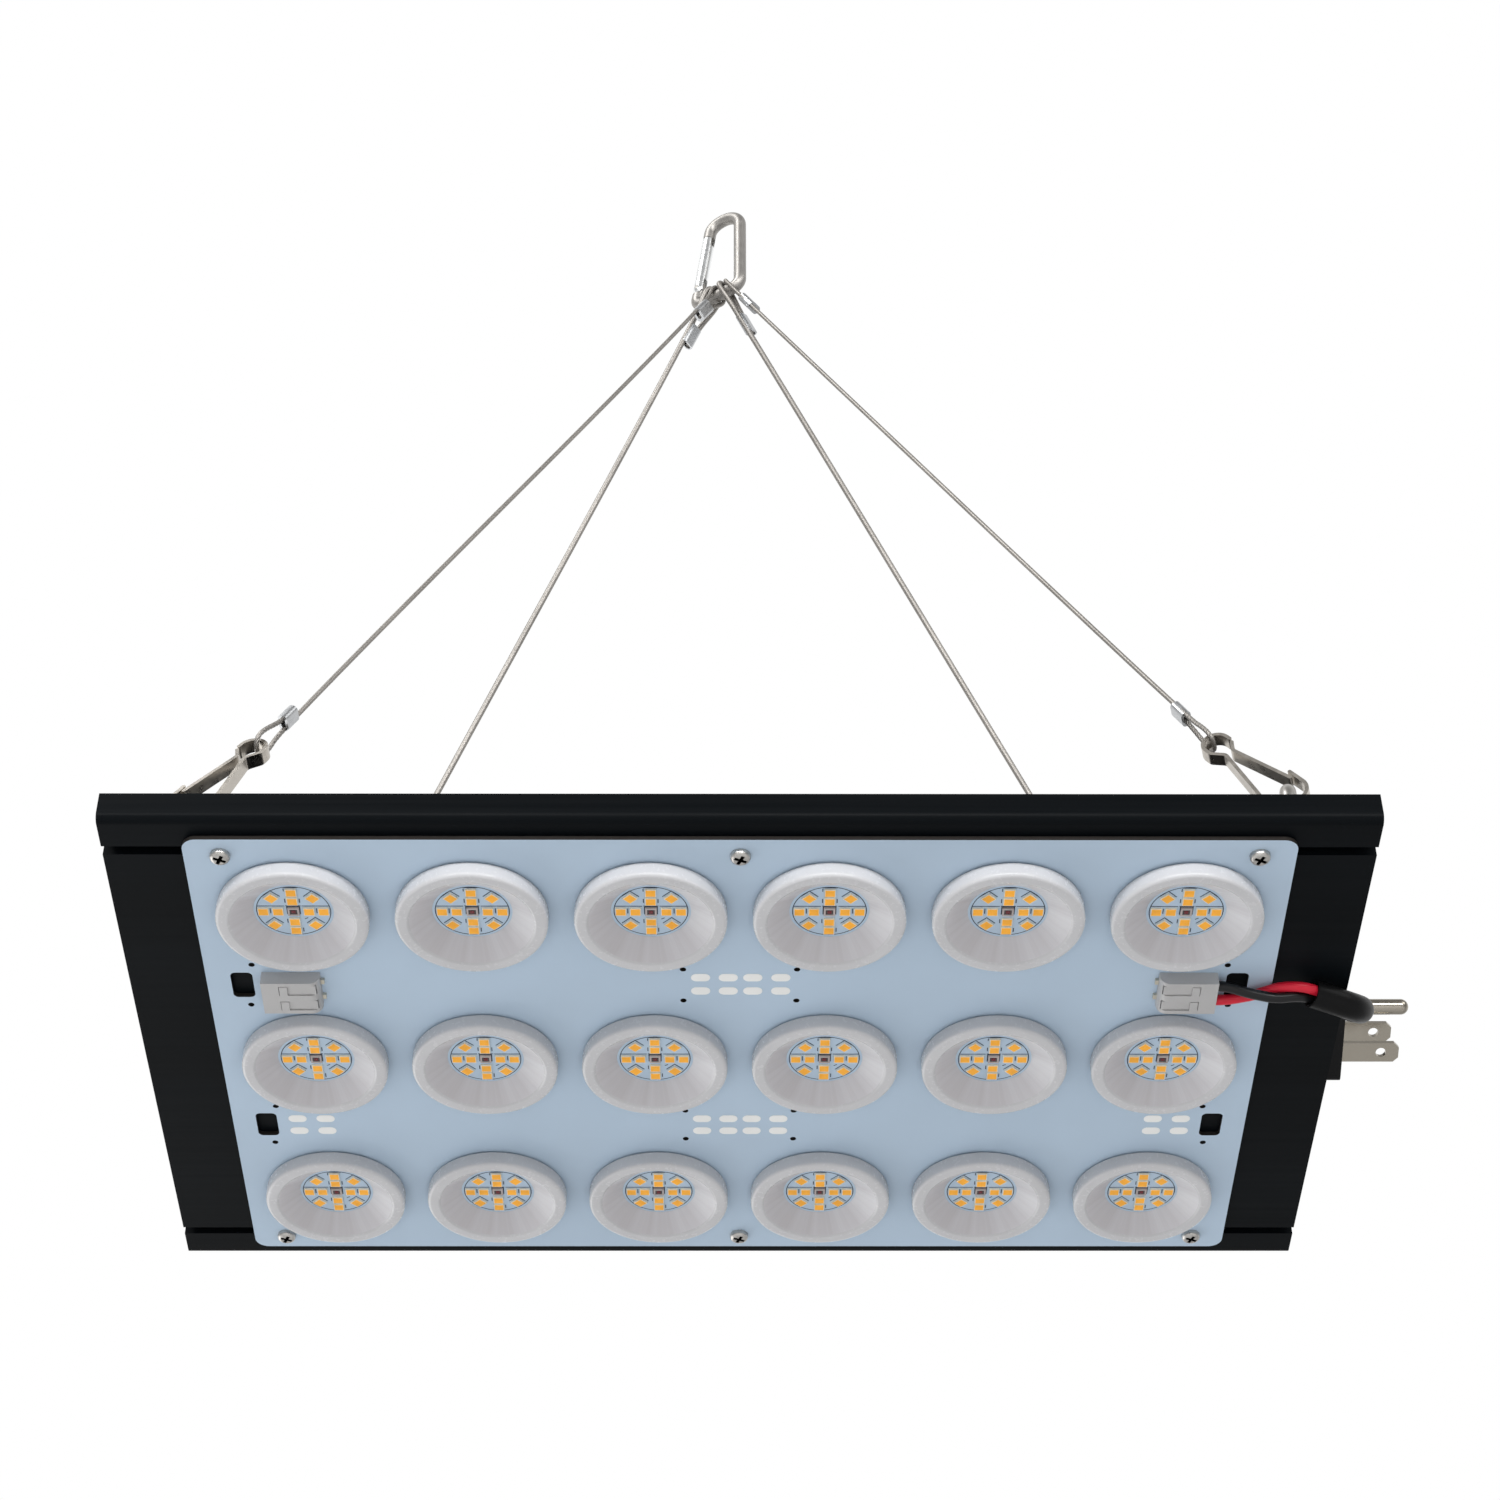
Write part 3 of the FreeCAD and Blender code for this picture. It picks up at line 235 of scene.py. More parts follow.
def solder_mask():
    """Pale blue-white mask with a faint copper pattern showing through; its hole walls and cut edges are
    painted near black as shade.
    """
    colour, painted_edge_shade = (0.435, 0.545, 0.665), (0.022, 0.019, 0.017)
    material, nodes, links, shader = new_material("white_solder_mask", colour, 0.34, specular=0.35)
    vector = place(nodes, links)
    cells = nodes.new("ShaderNodeTexVoronoi")
    cells.distance = "CHEBYCHEV"
    cells.feature = "F1"
    cells.inputs["Scale"].default_value = 40.0
    cells.inputs["Randomness"].default_value = 0.6
    links.new(vector, cells.inputs["Vector"])
    broad = noise(nodes, links, vector, 14.0, 4.0)
    copper = scalar_maths(nodes, links, "MULTIPLY_ADD", cells.outputs["Distance"], 0.12, broad)
    face = colour_ramp(nodes, links, copper,
                       [(0.35, tinted(colour, 0.965)), (0.7, tinted(colour, 1.03))])
    # Painted shade: the hole walls and the board's cut edge are coloured near black.
    links.new(mixed(nodes, links, upright_faces(nodes, links), face, painted_edge_shade),
              shader.inputs["Base Color"])
    fine = noise(nodes, links, vector, 2500.0, 2.0)
    links.new(spread(nodes, links, fine, 0.28, 0.42), shader.inputs["Roughness"])
    bump(nodes, links, shader, fine, 0.12, 0.00002)
    return material


def reflector_plastic():
    """Moulded white wall and lip of a cup, satin with a fine grain."""
    colour = (0.56, 0.56, 0.575)
    material, nodes, links, shader = new_material("reflector_plastic", colour, 0.30, specular=0.4)
    vector = place(nodes, links)
    broad = noise(nodes, links, vector, 60.0, 3.0)
    links.new(colour_ramp(nodes, links, broad, [(0.3, tinted(colour, 0.96)), (0.7, tinted(colour, 1.04))]),
              shader.inputs["Base Color"])
    fine = noise(nodes, links, vector, 900.0, 2.0)
    links.new(spread(nodes, links, fine, 0.17, 0.30), shader.inputs["Roughness"])
    bump(nodes, links, shader, fine, 0.10, 0.00003)
    return material


def twisted_steel():
    """Bright steel strands under a clear coat that dulls them."""
    return mottled("twisted_steel", (0.34, 0.322, 0.30), 0.52, metallic=1.0, grain=900.0, vary=0.08,
                   rough_vary=0.04, relief=0.06, depth=0.00001)


def satin_steel(name, colour, roughness):
    return mottled(name, colour, roughness, metallic=1.0, grain=420.0, vary=0.06, rough_vary=0.05,
                   relief=0.07, depth=0.00001)


def moulded_black(name, tone, roughness, grain=700.0):
    return mottled(name, (tone, tone, tone * 1.05), roughness, specular=0.10, grain=grain, vary=0.2,
                   rough_vary=0.06, relief=0.25, depth=0.00006)


def insulation(name, colour):
    return mottled(name, colour, 0.34, specular=0.3, grain=260.0, vary=0.10, rough_vary=0.05,
                   relief=0.12, depth=0.00005)


def woven_strap():
    """Hook-and-loop strap covered in small loops."""
    material, nodes, links, shader = new_material("woven_strap", (0.012, 0.012, 0.013), 0.85,
                                                  specular=0.2)
    vector = place(nodes, links)
    cells = nodes.new("ShaderNodeTexVoronoi")
    cells.inputs["Scale"].default_value = 1600.0
    links.new(vector, cells.inputs["Vector"])
    links.new(colour_ramp(nodes, links, cells.outputs["Distance"],
                          [(0.1, (0.02, 0.02, 0.022)), (0.7, (0.006, 0.006, 0.006))]),
              shader.inputs["Base Color"])
    bump(nodes, links, shader, cells.outputs["Distance"], 0.6, 0.0003)
    shader.inputs["Sheen Weight"].default_value = 0.3
    return material


def phosphor():
    """Yellow-orange phosphor under a clear face."""
    return mottled("led_phosphor", (0.98, 0.44, 0.04), 0.34, specular=0.3, grain=5000.0, vary=0.07,
                   rough_vary=0.08, relief=0.1, depth=0.00002)


MATERIALS = {
    "black_anodised": black_anodised(),
    "white_board": solder_mask(),
    "solder": mottled("tinned_pad", (0.84, 0.845, 0.83), 0.42, specular=0.5, grain=900.0, vary=0.03,
                      rough_vary=0.05, relief=0.15, depth=0.00005),
    # The grey thermal pad is painted near black, as painted shade in the tooling holes that show it.
    "thermal_pad": mottled("thermal_pad", (0.05, 0.05, 0.055), 0.75, grain=600.0),
    "reflector_white": reflector_plastic(),
    "zinc_steel": satin_steel("zinc_steel", (0.43, 0.415, 0.39), 0.36),
    "terminal_white": mottled("terminal_plastic", (0.44, 0.435, 0.435), 0.38, specular=0.45, grain=700.0,
                              vary=0.05, rough_vary=0.06, relief=0.2),
    "contact_metal": satin_steel("tinned_brass", (0.66, 0.62, 0.52), 0.32),
    "carabiner_steel": satin_steel("satin_carabiner", (0.37, 0.355, 0.335), 0.48),
    "wire_rope": twisted_steel(),
    "ferrule_aluminium": satin_steel("crimped_aluminium", (0.54, 0.55, 0.56), 0.36),
    "nickel_strip": satin_steel("nickel_strip", (0.52, 0.485, 0.435), 0.30),
    "driver_black": mottled("driver_paint", (0.012, 0.012, 0.013), 0.45, specular=0.35, grain=900.0,
                            vary=0.2, relief=0.3),
    "driver_cap_black": moulded_black("driver_cap_paint", 0.014, 0.5),
    "circuit_green": mottled("circuit_board", (0.02, 0.12, 0.05), 0.4, grain=600.0),
    "ferrite": mottled("ferrite", (0.05, 0.045, 0.045), 0.6, grain=800.0),
    "capacitor_can": mottled("capacitor_sleeve", (0.02, 0.03, 0.08), 0.3, grain=300.0),
    "black_rubber": moulded_black("moulded_relief", 0.010, 0.42),
    "cord_black": moulded_black("cord_jacket", 0.006, 0.38, 320.0),
    "tie_fabric": woven_strap(),
    "plug_metal": satin_steel("nickel_pin", (0.36, 0.33, 0.28), 0.22),
    "plug_black": moulded_black("moulded_plug", 0.010, 0.40),
    "wire_black": insulation("black_insulation", (0.006, 0.006, 0.007)),
    "wire_red": insulation("red_insulation", (0.62, 0.012, 0.035)),
    "white_led": phosphor(),
    "red_led": mottled("clear_lens", (0.42, 0.37, 0.36), 0.20, specular=0.6, grain=3000.0),
}


def from_grid(nodes, links, centre, pitch):
    """Offset in X and Y from the nearest point of a grid."""
    half = (pitch[0] / 2, pitch[1] / 2, 1)
    shift = vector_maths(nodes, links, "SUBTRACT", coordinates(nodes), (*centre, 0))
    wrap = vector_maths(nodes, links, "WRAP", shift, half, tuple(-size for size in half))
    return vector_maths(nodes, links, "MULTIPLY", wrap, (1, 1, 0))


def streaked_cone():
    """Satin cone of a cup, with painted reflection streaks running from its lip to its floor and painted
    light making it lighter towards +X and -Y of its axis.
    """
    material, nodes, links, shader = new_material("cup_cone", (0.54, 0.53, 0.55), 0.30, specular=0.4)
    from_axis = from_grid(nodes, links, (PANEL.x + COLUMN_PITCH / 2, PANEL.y), (COLUMN_PITCH, ROW_PITCH))
    around = vector_maths(nodes, links, "NORMALIZE", from_axis)
    # Painted light: the cone is lighter on its side towards +X and -Y of its axis, and the streaks round it
    # are painted reflections.
    side = vector_maths(nodes, links, "DOT_PRODUCT", around, (0.14, -0.12, 0), output="Value")
    painted_reflection_streaks = noise(nodes, links, around, 3.6, 5.0, 0.62)
    tones = [(0.12, (0.48, 0.46, 0.475)), (0.5, (0.56, 0.55, 0.575)), (0.9, (0.68, 0.69, 0.71))]
    links.new(colour_ramp(nodes, links, scalar_maths(nodes, links, "ADD", side, painted_reflection_streaks), tones),
              shader.inputs["Base Color"])
    fine = noise(nodes, links, place(nodes, links), 1200.0, 2.0)
    links.new(spread(nodes, links, fine, 0.38, 0.50), shader.inputs["Roughness"])
    bump(nodes, links, shader, painted_reflection_streaks, 0.20, 0.0002)
    return material


def cross_screw():
    """Zinc-plated board screw whose cross is painted dark as shade."""
    colour, painted_cross_shade = (0.50, 0.485, 0.46), (0.02, 0.018, 0.016)
    material, nodes, links, shader = new_material("cross_head_screw", colour, 0.30, metallic=1.0)
    from_axis = from_grid(nodes, links, (PANEL.x, PANEL.y + SCREW_PITCH[1] / 2), SCREW_PITCH)
    radius = vector_maths(nodes, links, "LENGTH", from_axis, output="Value")
    height = axis_of(nodes, links, coordinates(nodes), "Z")
    near = scalar_maths(nodes, links, "LESS_THAN", radius, CROSS_REACH)
    deep = scalar_maths(nodes, links, "GREATER_THAN", height, BOARD_FACE - SCREW_HEAD + CROSS_START)
    in_cross = scalar_maths(nodes, links, "MULTIPLY", near, deep)
    fine = noise(nodes, links, place(nodes, links), 900.0)
    plated = colour_ramp(nodes, links, fine, [(0.35, tinted(colour, 0.92)), (0.65, tinted(colour, 1.08))])
    # Painted shade: the screw's cross is coloured near black.
    links.new(mixed(nodes, links, in_cross, plated, painted_cross_shade), shader.inputs["Base Color"])
    links.new(spread(nodes, links, fine, 0.26, 0.36), shader.inputs["Roughness"])
    return material


CONE_WITH_PAINTED_LIGHT = streaked_cone()
SCREW_WITH_PAINTED_SHADE = cross_screw()
# The gate is the carabiner's steel, made glossier and painted far brighter as a painted highlight.
GATE_PAINTED_HIGHLIGHT = satin_steel("polished_gate_painted_highlight", (0.86, 0.87, 0.87), 0.30)
PACKAGE = mottled("led_package", (0.80, 0.74, 0.60), 0.35, grain=2500.0, vary=0.04, rough_vary=0.06,
                  relief=0.1, depth=0.00002)
WELL = mottled("led_well", (0.035, 0.022, 0.022), 0.30, grain=3000.0)
RED_CHIP = mottled("red_chip", (0.14, 0.012, 0.018), 0.22, specular=0.6, grain=3000.0)
INK = mottled("board_ink", (0.018, 0.028, 0.05), 0.55, specular=0.3, grain=3000.0)


def paint_frame():
    """Give every CAD node the material of its slot; the board screws get a cross painted dark as shade, and
    the carabiner's gate a steel painted bright as a highlight.
    """
    for entry in frame["record"]["subparts"]:
        mesh = NODES[entry["node"]].data
        mesh.materials.clear()
        mesh.materials.append(MATERIALS[entry["material_slot"]])
    for node, material in (("board_screws", SCREW_WITH_PAINTED_SHADE), ("carabiner_gate", GATE_PAINTED_HIGHLIGHT)):
        NODES[node].data.materials[0] = material


# ---- mesh tools --------------------------------------------------------------------------------
def new_piece(name, mesh_data, materials, smooth=None):
    """An object from a bmesh, riding on the lamp's body."""
    mesh = bpy.data.meshes.new(name)
    mesh_data.to_mesh(mesh)
    mesh_data.free()
    for material in materials:
        mesh.materials.append(material)
    if smooth is not None:
        mesh.set_sharp_from_angle(angle=math.radians(smooth))
        for polygon in mesh.polygons:
            polygon.use_smooth = True
    piece = bpy.data.objects.new(name, mesh)
    bpy.context.scene.collection.objects.link(piece)
    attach(piece, "lamp")
    return piece


def nurbs_curve(name, points):
    """A smooth curve with the route's points as its control points."""
    curve = bpy.data.curves.new(name, "CURVE")
    curve.dimensions = "3D"
    spline = curve.splines.new("NURBS")
    spline.points.add(len(points) - 1)
    for point, place_at in zip(spline.points, points):
        point.co = (*place_at, 1)
    spline.order_u = 3
    spline.use_endpoint_u = True
    spline.resolution_u = 8
    return curve


def read_line(name, points):
    """The points of a route's smooth line."""
    curve = nurbs_curve(name, points)
    guide = bpy.data.objects.new(name, curve)
    bpy.context.scene.collection.objects.link(guide)
    bpy.context.view_layer.update()
    mesh = bpy.data.meshes.new_from_object(guide.evaluated_get(bpy.context.evaluated_depsgraph_get()))
    line = [vertex.co.copy() for vertex in mesh.vertices]
    bpy.data.objects.remove(guide)
    bpy.data.curves.remove(curve)
    bpy.data.meshes.remove(mesh)
    return line


def evenly(line, step):
    """The line with points a fixed step apart along it."""
    lengths = [0.0]
    for a, b in zip(line, line[1:]):
        lengths.append(lengths[-1] + (b - a).length)
    count = max(2, round(lengths[-1] / step))
    out, i = [], 0
    for k in range(count + 1):
        s = lengths[-1] * k / count
        while i < len(lengths) - 2 and lengths[i + 1] < s:
            i += 1
        share = (s - lengths[i]) / max(lengths[i + 1] - lengths[i], 1e-12)
        out.append(line[i].lerp(line[i + 1], min(share, 1.0)))
    return out


def carried_frames(line):
    """Two side directions at each point, carried along the line without twist."""
    tangents = [(line[min(i + 1, len(line) - 1)] - line[max(i - 1, 0)]).normalized()
                for i in range(len(line))]
    side = tangents[0].orthogonal().normalized()
    frames = []
    for tangent in tangents:
        side = (side - tangent * side.dot(tangent)).normalized()
        frames.append((side, tangent.cross(side)))
    return frames


def add_tube(mesh, rings):
    """Skin a list of rings of points and close both ends."""
    made = [[mesh.verts.new(p) for p in ring] for ring in rings]
    sides = len(made[0])
    for a, b in zip(made, made[1:]):
        for i in range(sides):
            mesh.faces.new((a[i], a[(i + 1) % sides], b[(i + 1) % sides], b[i])).smooth = True
    for ring in (list(reversed(made[0])), made[-1]):
        mesh.faces.new(ring)


def add_block(mesh, low, high, slot_index):
    """A closed block between two rings of points."""
    a, b = [mesh.verts.new(p) for p in low], [mesh.verts.new(p) for p in high]
    count = len(a)
    for k in range(count):
        mesh.faces.new((a[k], a[(k + 1) % count], b[(k + 1) % count], b[k])).material_index = slot_index
    mesh.faces.new(list(reversed(a))).material_index = slot_index
    mesh.faces.new(b).material_index = slot_index


# ---- wire ropes, in millimetres ----------------------------------------------------------------
ROPE_D = {"near": 1.5, "far": 2.0}
CARABINER_WIRE, STRIP_T, STRIP_W = 4.5, 1.1, 4.0              # its thickness, the hooks' flat strip
UPPER_FERRULE, LOWER_FERRULE = 8.0, 6.0
EYE_X, EYE_Y, EYE_GRIP_Z = 154.0, 73.5, 36.2                  # where a hook grips its eyebolt
HOOK_REACH, HOOK_RING_R, LOWER_EYE = 31.0, 3.9, 11.0          # grip to ring, the ring, the eye's length
# play of the upper eye on the bar, of the lower eye beside and inside the hook's ring, between a rope
# and its tail, and how far a tail stops short of its ferrule's end
BAR_PLAY, STRIP_PLAY, RING_PLAY, TAIL_GAP, TAIL_SHORT = 0.45, 1.05, 0.9, 0.1, 0.6
BAR_AXIS = Vector((math.cos(math.radians(-35.0)), math.sin(math.radians(-35.0)), 0))
BAR_CENTRE = Vector((-1.3106, 0.9177, -39.4094))
# name: side of X, side of Y, place along the bar, the upper eye's length, the way that its hook's gate
# looks, how much deeper its eyebolt sits, how many degrees flatter its hook hangs, its length in metres
ROPES = {
    "far_left": (-1, 1, -3.2, 14.0, (-0.86, 0.17, 0.48), 0.0, 7.0, 0.376),
    "near_left": (-1, -1, -0.3, 8.5, (-0.86, 0.20, 0.45), 4.0, 4.0, 0.373),
    "far_right": (1, 1, 3.6, 12.5, (0.86, 0.17, 0.48), 0.0, 7.0, 0.381),
    "near_right": (1, -1, 6.5, 9.5, (0.86, -0.17, 0.48), 0.0, 7.0, 0.375)}
LOBES, LOBE_POINTS, EYE_CORNERS = 6, 5, 4
# in metres: the length of one full twist, and the distance between the mesh's rings
LAY, RING_STEP = {"near": 0.009, "far": 0.011}, 0.0009
# how far the clear coat fills the grooves, on the run and round the hook, and the lengths in metres of
# the stretch round the hook and of the change between the two
COAT, BARE_COAT, BARE_END, COAT_FADE = {"near": 0.93, "far": 0.965}, 0.3, 0.034, 0.012


def eye_route(centre, away, across, radius, mouth, half_gap):
    """Control points of one eye, which closes to a narrow mouth at its ferrule."""
    flare = math.asin(radius / math.hypot(mouth, half_gap)) - math.atan2(half_gap, mouth)
    wrap = math.pi + 2 * flare
    reach = radius / math.cos(wrap / (2 * EYE_CORNERS))
    corners = [centre - away * mouth + across * half_gap]
    for i in range(EYE_CORNERS):
        angle = math.pi / 2 + flare - wrap * (i + 0.5) / EYE_CORNERS
        corners.append(centre + away * (reach * math.cos(angle)) + across * (reach * math.sin(angle)))
    return corners + [centre - away * mouth - across * half_gap]


def rope_route(name):
    """One rope: its tail, the eye on the carabiner's bar, the long run, the lower eye, its tail."""
    side_x, side_y, along, mouth, gate_side, deeper, flatter, _ = ROPES[name]
    d = ROPE_D["near" if side_y < 0 else "far"]
    grip = panel(side_x * EYE_X, side_y * EYE_Y, EYE_GRIP_Z - deeper) * 1000
    bar = BAR_CENTRE + BAR_AXIS * along
    straight = (grip - bar).normalized()
    gate_side = Vector(gate_side)
    outward = (gate_side - straight * gate_side.dot(straight)).normalized()
    w = straight.cross(outward)
    tilt = math.radians(flatter)
    u = straight * math.cos(tilt) + outward * math.sin(tilt)
    ring = grip - u * HOOK_REACH
    up = (bar - ring).normalized()
    half_gap = d / 2 + TAIL_GAP
    normal = (BAR_AXIS - up * BAR_AXIS.dot(up)).normalized()
    bar_r = CARABINER_WIRE / 2 / BAR_AXIS.dot(normal) + BAR_PLAY + d / 2
    upper = list(reversed(eye_route(bar, up, normal.cross(up), bar_r, mouth, half_gap)))
    low_across = (w - up * w.dot(up)).normalized()
    low_r = STRIP_W / 2 + d / 2 + STRIP_PLAY
    low_centre = ring + up * (HOOK_RING_R - STRIP_T / 2 - RING_PLAY - d / 2 + low_r)
    lower = eye_route(low_centre, -up, low_across, low_r, LOWER_EYE, half_gap)
    tail_up = upper[0] - up * (UPPER_FERRULE - TAIL_SHORT)
    tail_down = lower[-1] + up * (LOWER_FERRULE - TAIL_SHORT)
    return [p / 1000 for p in [tail_up] + upper + lower + [tail_down]]


def lobed_section(d, coat):
    """Radius in metres and angle of points round touching strands, their grooves filled by a coat."""
    r = d / 2000 / 3
    lobe_turn = 360 // LOBES
    section = []
    for k in range(LOBES * LOBE_POINTS):
        off = math.radians(-lobe_turn / 2 + lobe_turn // LOBE_POINTS * (k % LOBE_POINTS))
        rho = 2 * r * math.cos(off) + math.sqrt(max(r * r - (2 * r * math.sin(off)) ** 2, 0.0))
        section.append((rho + (3 * r - rho) * coat, math.radians(lobe_turn * (k // LOBE_POINTS)) + off))
    return section


def make_rope(name):
    """A twisted rope along its route, with its clear coat thinner round the hook."""
    kind = "near" if ROPES[name][1] < 0 else "far"
    d = ROPE_D[kind]
    line = evenly(read_line("rope_guide", rope_route(name)), RING_STEP)
    total = sum((b - a).length for a, b in zip(line, line[1:]))
    bare, coated, rings, travelled = lobed_section(d, BARE_COAT), lobed_section(d, COAT[kind]), [], 0.0
    for i, (point, (a, b)) in enumerate(zip(line, carried_frames(line))):
        travelled += (point - line[i - 1]).length if i else 0.0
        twist = travelled / LAY[kind] * 2 * math.pi
        share = min(max((total - travelled - BARE_END) / COAT_FADE, 0.0), 1.0)
        ring = []
        for (rho_bare, angle), (rho_coated, _) in zip(bare, coated):
            rho = rho_bare + (rho_coated - rho_bare) * share
            ring.append(point + a * (rho * math.cos(angle + twist)) + b * (rho * math.sin(angle + twist)))
        rings.append(ring)
    mesh = bmesh.new()
    add_tube(mesh, rings)
    rope = new_piece("twisted_rope_" + name, mesh, [MATERIALS["wire_rope"]])
    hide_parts("rope_" + name)


# ---- reflector cups, in millimetres ------------------------------------------------------------
CUP_FOOT, CUP_HEIGHT, CUP_SIDES, CUP_EDGE = LED_HEIGHT, 5.0, 120, 0.22
CUP_RIM = CUP_FOOT - CUP_HEIGHT
# radius and height of each corner of a cup's section: up the cone, over the lip, down the outer wall,
# along the foot and back through the hollow wall
CUP_SECTION = [(10.9, CUP_FOOT), (17.2, CUP_RIM + 0.35), (17.7, CUP_RIM), (20.1, CUP_RIM),
               (20.75, CUP_RIM + 0.3), (21.0, CUP_RIM + 0.9), (21.0, 0.1), (19.7, 0.1),
               (19.7, CUP_RIM + 1.3), (18.1, CUP_RIM + 1.3), (12.4, CUP_FOOT)]
CONE_STEPS = (1, 2)                               # steps of the softened section that are the cone


def soft_corners(profile, size):
    """The closed profile with each corner cut to a small two-step round."""
    out = []
    for i, corner in enumerate(profile):
        before, after = profile[i - 1], profile[(i + 1) % len(profile)]
        ends = []
        for other in (before, after):
            length = math.hypot(other[0] - corner[0], other[1] - corner[1])
            share = min(size, 0.3 * length) / length
            ends.append((corner[0] + (other[0] - corner[0]) * share,
                         corner[1] + (other[1] - corner[1]) * share))
        mid = ((ends[0][0] + ends[1][0] + 2 * corner[0]) / 4, (ends[0][1] + ends[1][1] + 2 * corner[1]) / 4)
        out += [ends[0], mid, ends[1]]
    return out


def make_cup_row(row, name):
    """Six lathe-turned cups with satin walls and lips and streaked cones."""
    soft = soft_corners(CUP_SECTION, CUP_EDGE)
    mesh = bmesh.new()
    for x, y in cup_centres()[row * COLUMNS:(row + 1) * COLUMNS]:
        turns = []
        for k in range(CUP_SIDES):
            angle = 2 * math.pi * k / CUP_SIDES
            turns.append([mesh.verts.new(panel(x + r * math.cos(angle), y + r * math.sin(angle), z))
                          for r, z in soft])
        for k in range(CUP_SIDES):
            a, b = turns[k], turns[(k + 1) % CUP_SIDES]
            for j in range(len(soft)):
                n = (j + 1) % len(soft)
                face = mesh.faces.new((a[j], b[j], b[n], a[n]))
                face.smooth = True
                face.material_index = int(j in CONE_STEPS)
    bmesh.ops.recalc_face_normals(mesh, faces=mesh.faces)
    piece = new_piece("cups_%s_row" % name, mesh, [MATERIALS["reflector_white"], CONE_WITH_PAINTED_LIGHT],
                      smooth=35)
    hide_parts("reflectors_%s_row" % name)


# ---- LEDs and print, in millimetres ------------------------------------------------------------
LEDS_ALONG_X, LEDS_ALONG_Y, LED_DIAGONAL = (4.26, 8.27), (4.35, 8.0), 5.65
WHITE_SIZE, RED_SIZE = (3.0, 2.6, 0.06), (3.2, 2.0, 0.22)     # package, window, the window's depth
PACKAGE_EDGE, PACKAGE_SHOULDER, WINDOW_EDGE = 0.1, 0.12, 0.06
CHIP_HALF, CHIP_FACE, CHIP_T = 0.55, 0.1, 0.12
SQUARE = ((-1, -1), (1, -1), (1, 1), (-1, 1))


def led_places():
    """Place and turn of the white LEDs of one cup: a cross of eight, and four between its arms."""
    places = [(s * r, 0.0, 0.0) for s in (-1, 1) for r in LEDS_ALONG_X]
    places += [(0.0, s * r, 0.0) for s in (-1, 1) for r in LEDS_ALONG_Y]
    return places + [(a * LED_DIAGONAL, b * LED_DIAGONAL, 45.0) for a in (-1, 1) for b in (-1, 1)]


def add_package(mesh, x, y, turn, sizes):
    """A square LED package with soft edges and a sunk window; its face is at the panel's origin."""
    size, window, depth = sizes
    angle = math.radians(turn)
    rows = [(size / 2, LED_HEIGHT), (size / 2, PACKAGE_SHOULDER), (size / 2 - PACKAGE_EDGE, 0.0),
            (window / 2 + WINDOW_EDGE, 0.0), (window / 2, depth)]
    rings = []
    for half, z in rows:
        ring = []
        for a, b in SQUARE:
            u, v = a * half, b * half
            ring.append(mesh.verts.new(panel(x + u * math.cos(angle) - v * math.sin(angle),
                                             y + u * math.sin(angle) + v * math.cos(angle), z)))
        rings.append(ring)
    for near, far in zip(rings, rings[1:]):
        for k in range(4):
            mesh.faces.new((near[k], near[(k + 1) % 4], far[(k + 1) % 4], far[k]))
    mesh.faces.new(rings[-1]).material_index = 1
    mesh.faces.new(list(reversed(rings[0])))


def make_leds():
    white, red = bmesh.new(), bmesh.new()
    for x, y in cup_centres():
        for dx, dy, turn in led_places():
            add_package(white, x + dx, y + dy, turn, WHITE_SIZE)
        add_package(red, x, y, 0.0, RED_SIZE)
        chip = [panel(x + a * CHIP_HALF, y + b * CHIP_HALF, CHIP_FACE) for a, b in SQUARE]
        foot = [p + Vector((0, 0, CHIP_T / 1000)) for p in chip]
        add_block(red, chip, foot, 2)
    for name, mesh, materials in (
            ("white", white, [PACKAGE, MATERIALS["white_led"]]),
            ("red", red, [MATERIALS["red_led"], WELL, RED_CHIP])):
        bmesh.ops.recalc_face_normals(mesh, faces=mesh.faces)
        piece = new_piece(name + "_led_packages", mesh, materials)
        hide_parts(name + "_leds")


PRINT_Z, PRINT_T, RING_R, RING_WIDTH, STROKE_WIDTH = 0.575, 0.025, 10.15, 0.24, 0.28
# strokes of one cup, from its centre: the marks beside its LEDs and the frame of the red LED
STROKES = [((-9.9, -2.05), (-2.5, -2.05)), ((2.5, -2.05), (9.9, -2.05)), ((-1.9, -9.85), (1.9, -9.85)),
           ((-1.95, -2.15), (1.95, -2.15)), ((-6.35, -0.9), (-6.35, 0.9)), ((6.35, -0.9), (6.35, 0.9)),
           ((-2.0, -9.3), (-2.0, -8.4)), ((-2.0, -5.0), (-2.0, -3.6)), ((2.0, -5.0), (2.0, -3.6)),
           ((-2.0, 3.6), (-2.0, 5.0)), ((2.0, 7.4), (2.0, 8.8)), ((2.9, 3.4), (3.6, 3.0)),
           ((-1.75, -1.8), (1.75, -1.8), (1.75, 1.3)), ((-1.75, -1.8), (-1.75, 1.3))]
CHEVRON = ((-2.35, -0.55), (0.0, -2.85), (2.35, -0.55))       # from a slanting LED's centre


def add_stroke(mesh, points, width):
    """A thin printed line through points on the board; it has a little thickness."""
    for (x0, y0), (x1, y1) in zip(points, points[1:]):
        length = math.hypot(x1 - x0, y1 - y0)
        u, v = (x1 - x0) / length * width / 2, (y1 - y0) / length * width / 2
        corners = [(x0 - u - v, y0 - v + u), (x0 - u + v, y0 - v - u), (x1 + u + v, y1 + v - u),
                   (x1 + u - v, y1 + v + u)]
        add_block(mesh, [panel(a, b, PRINT_Z) for a, b in corners],
                  [panel(a, b, PRINT_Z + PRINT_T) for a, b in corners], 0)


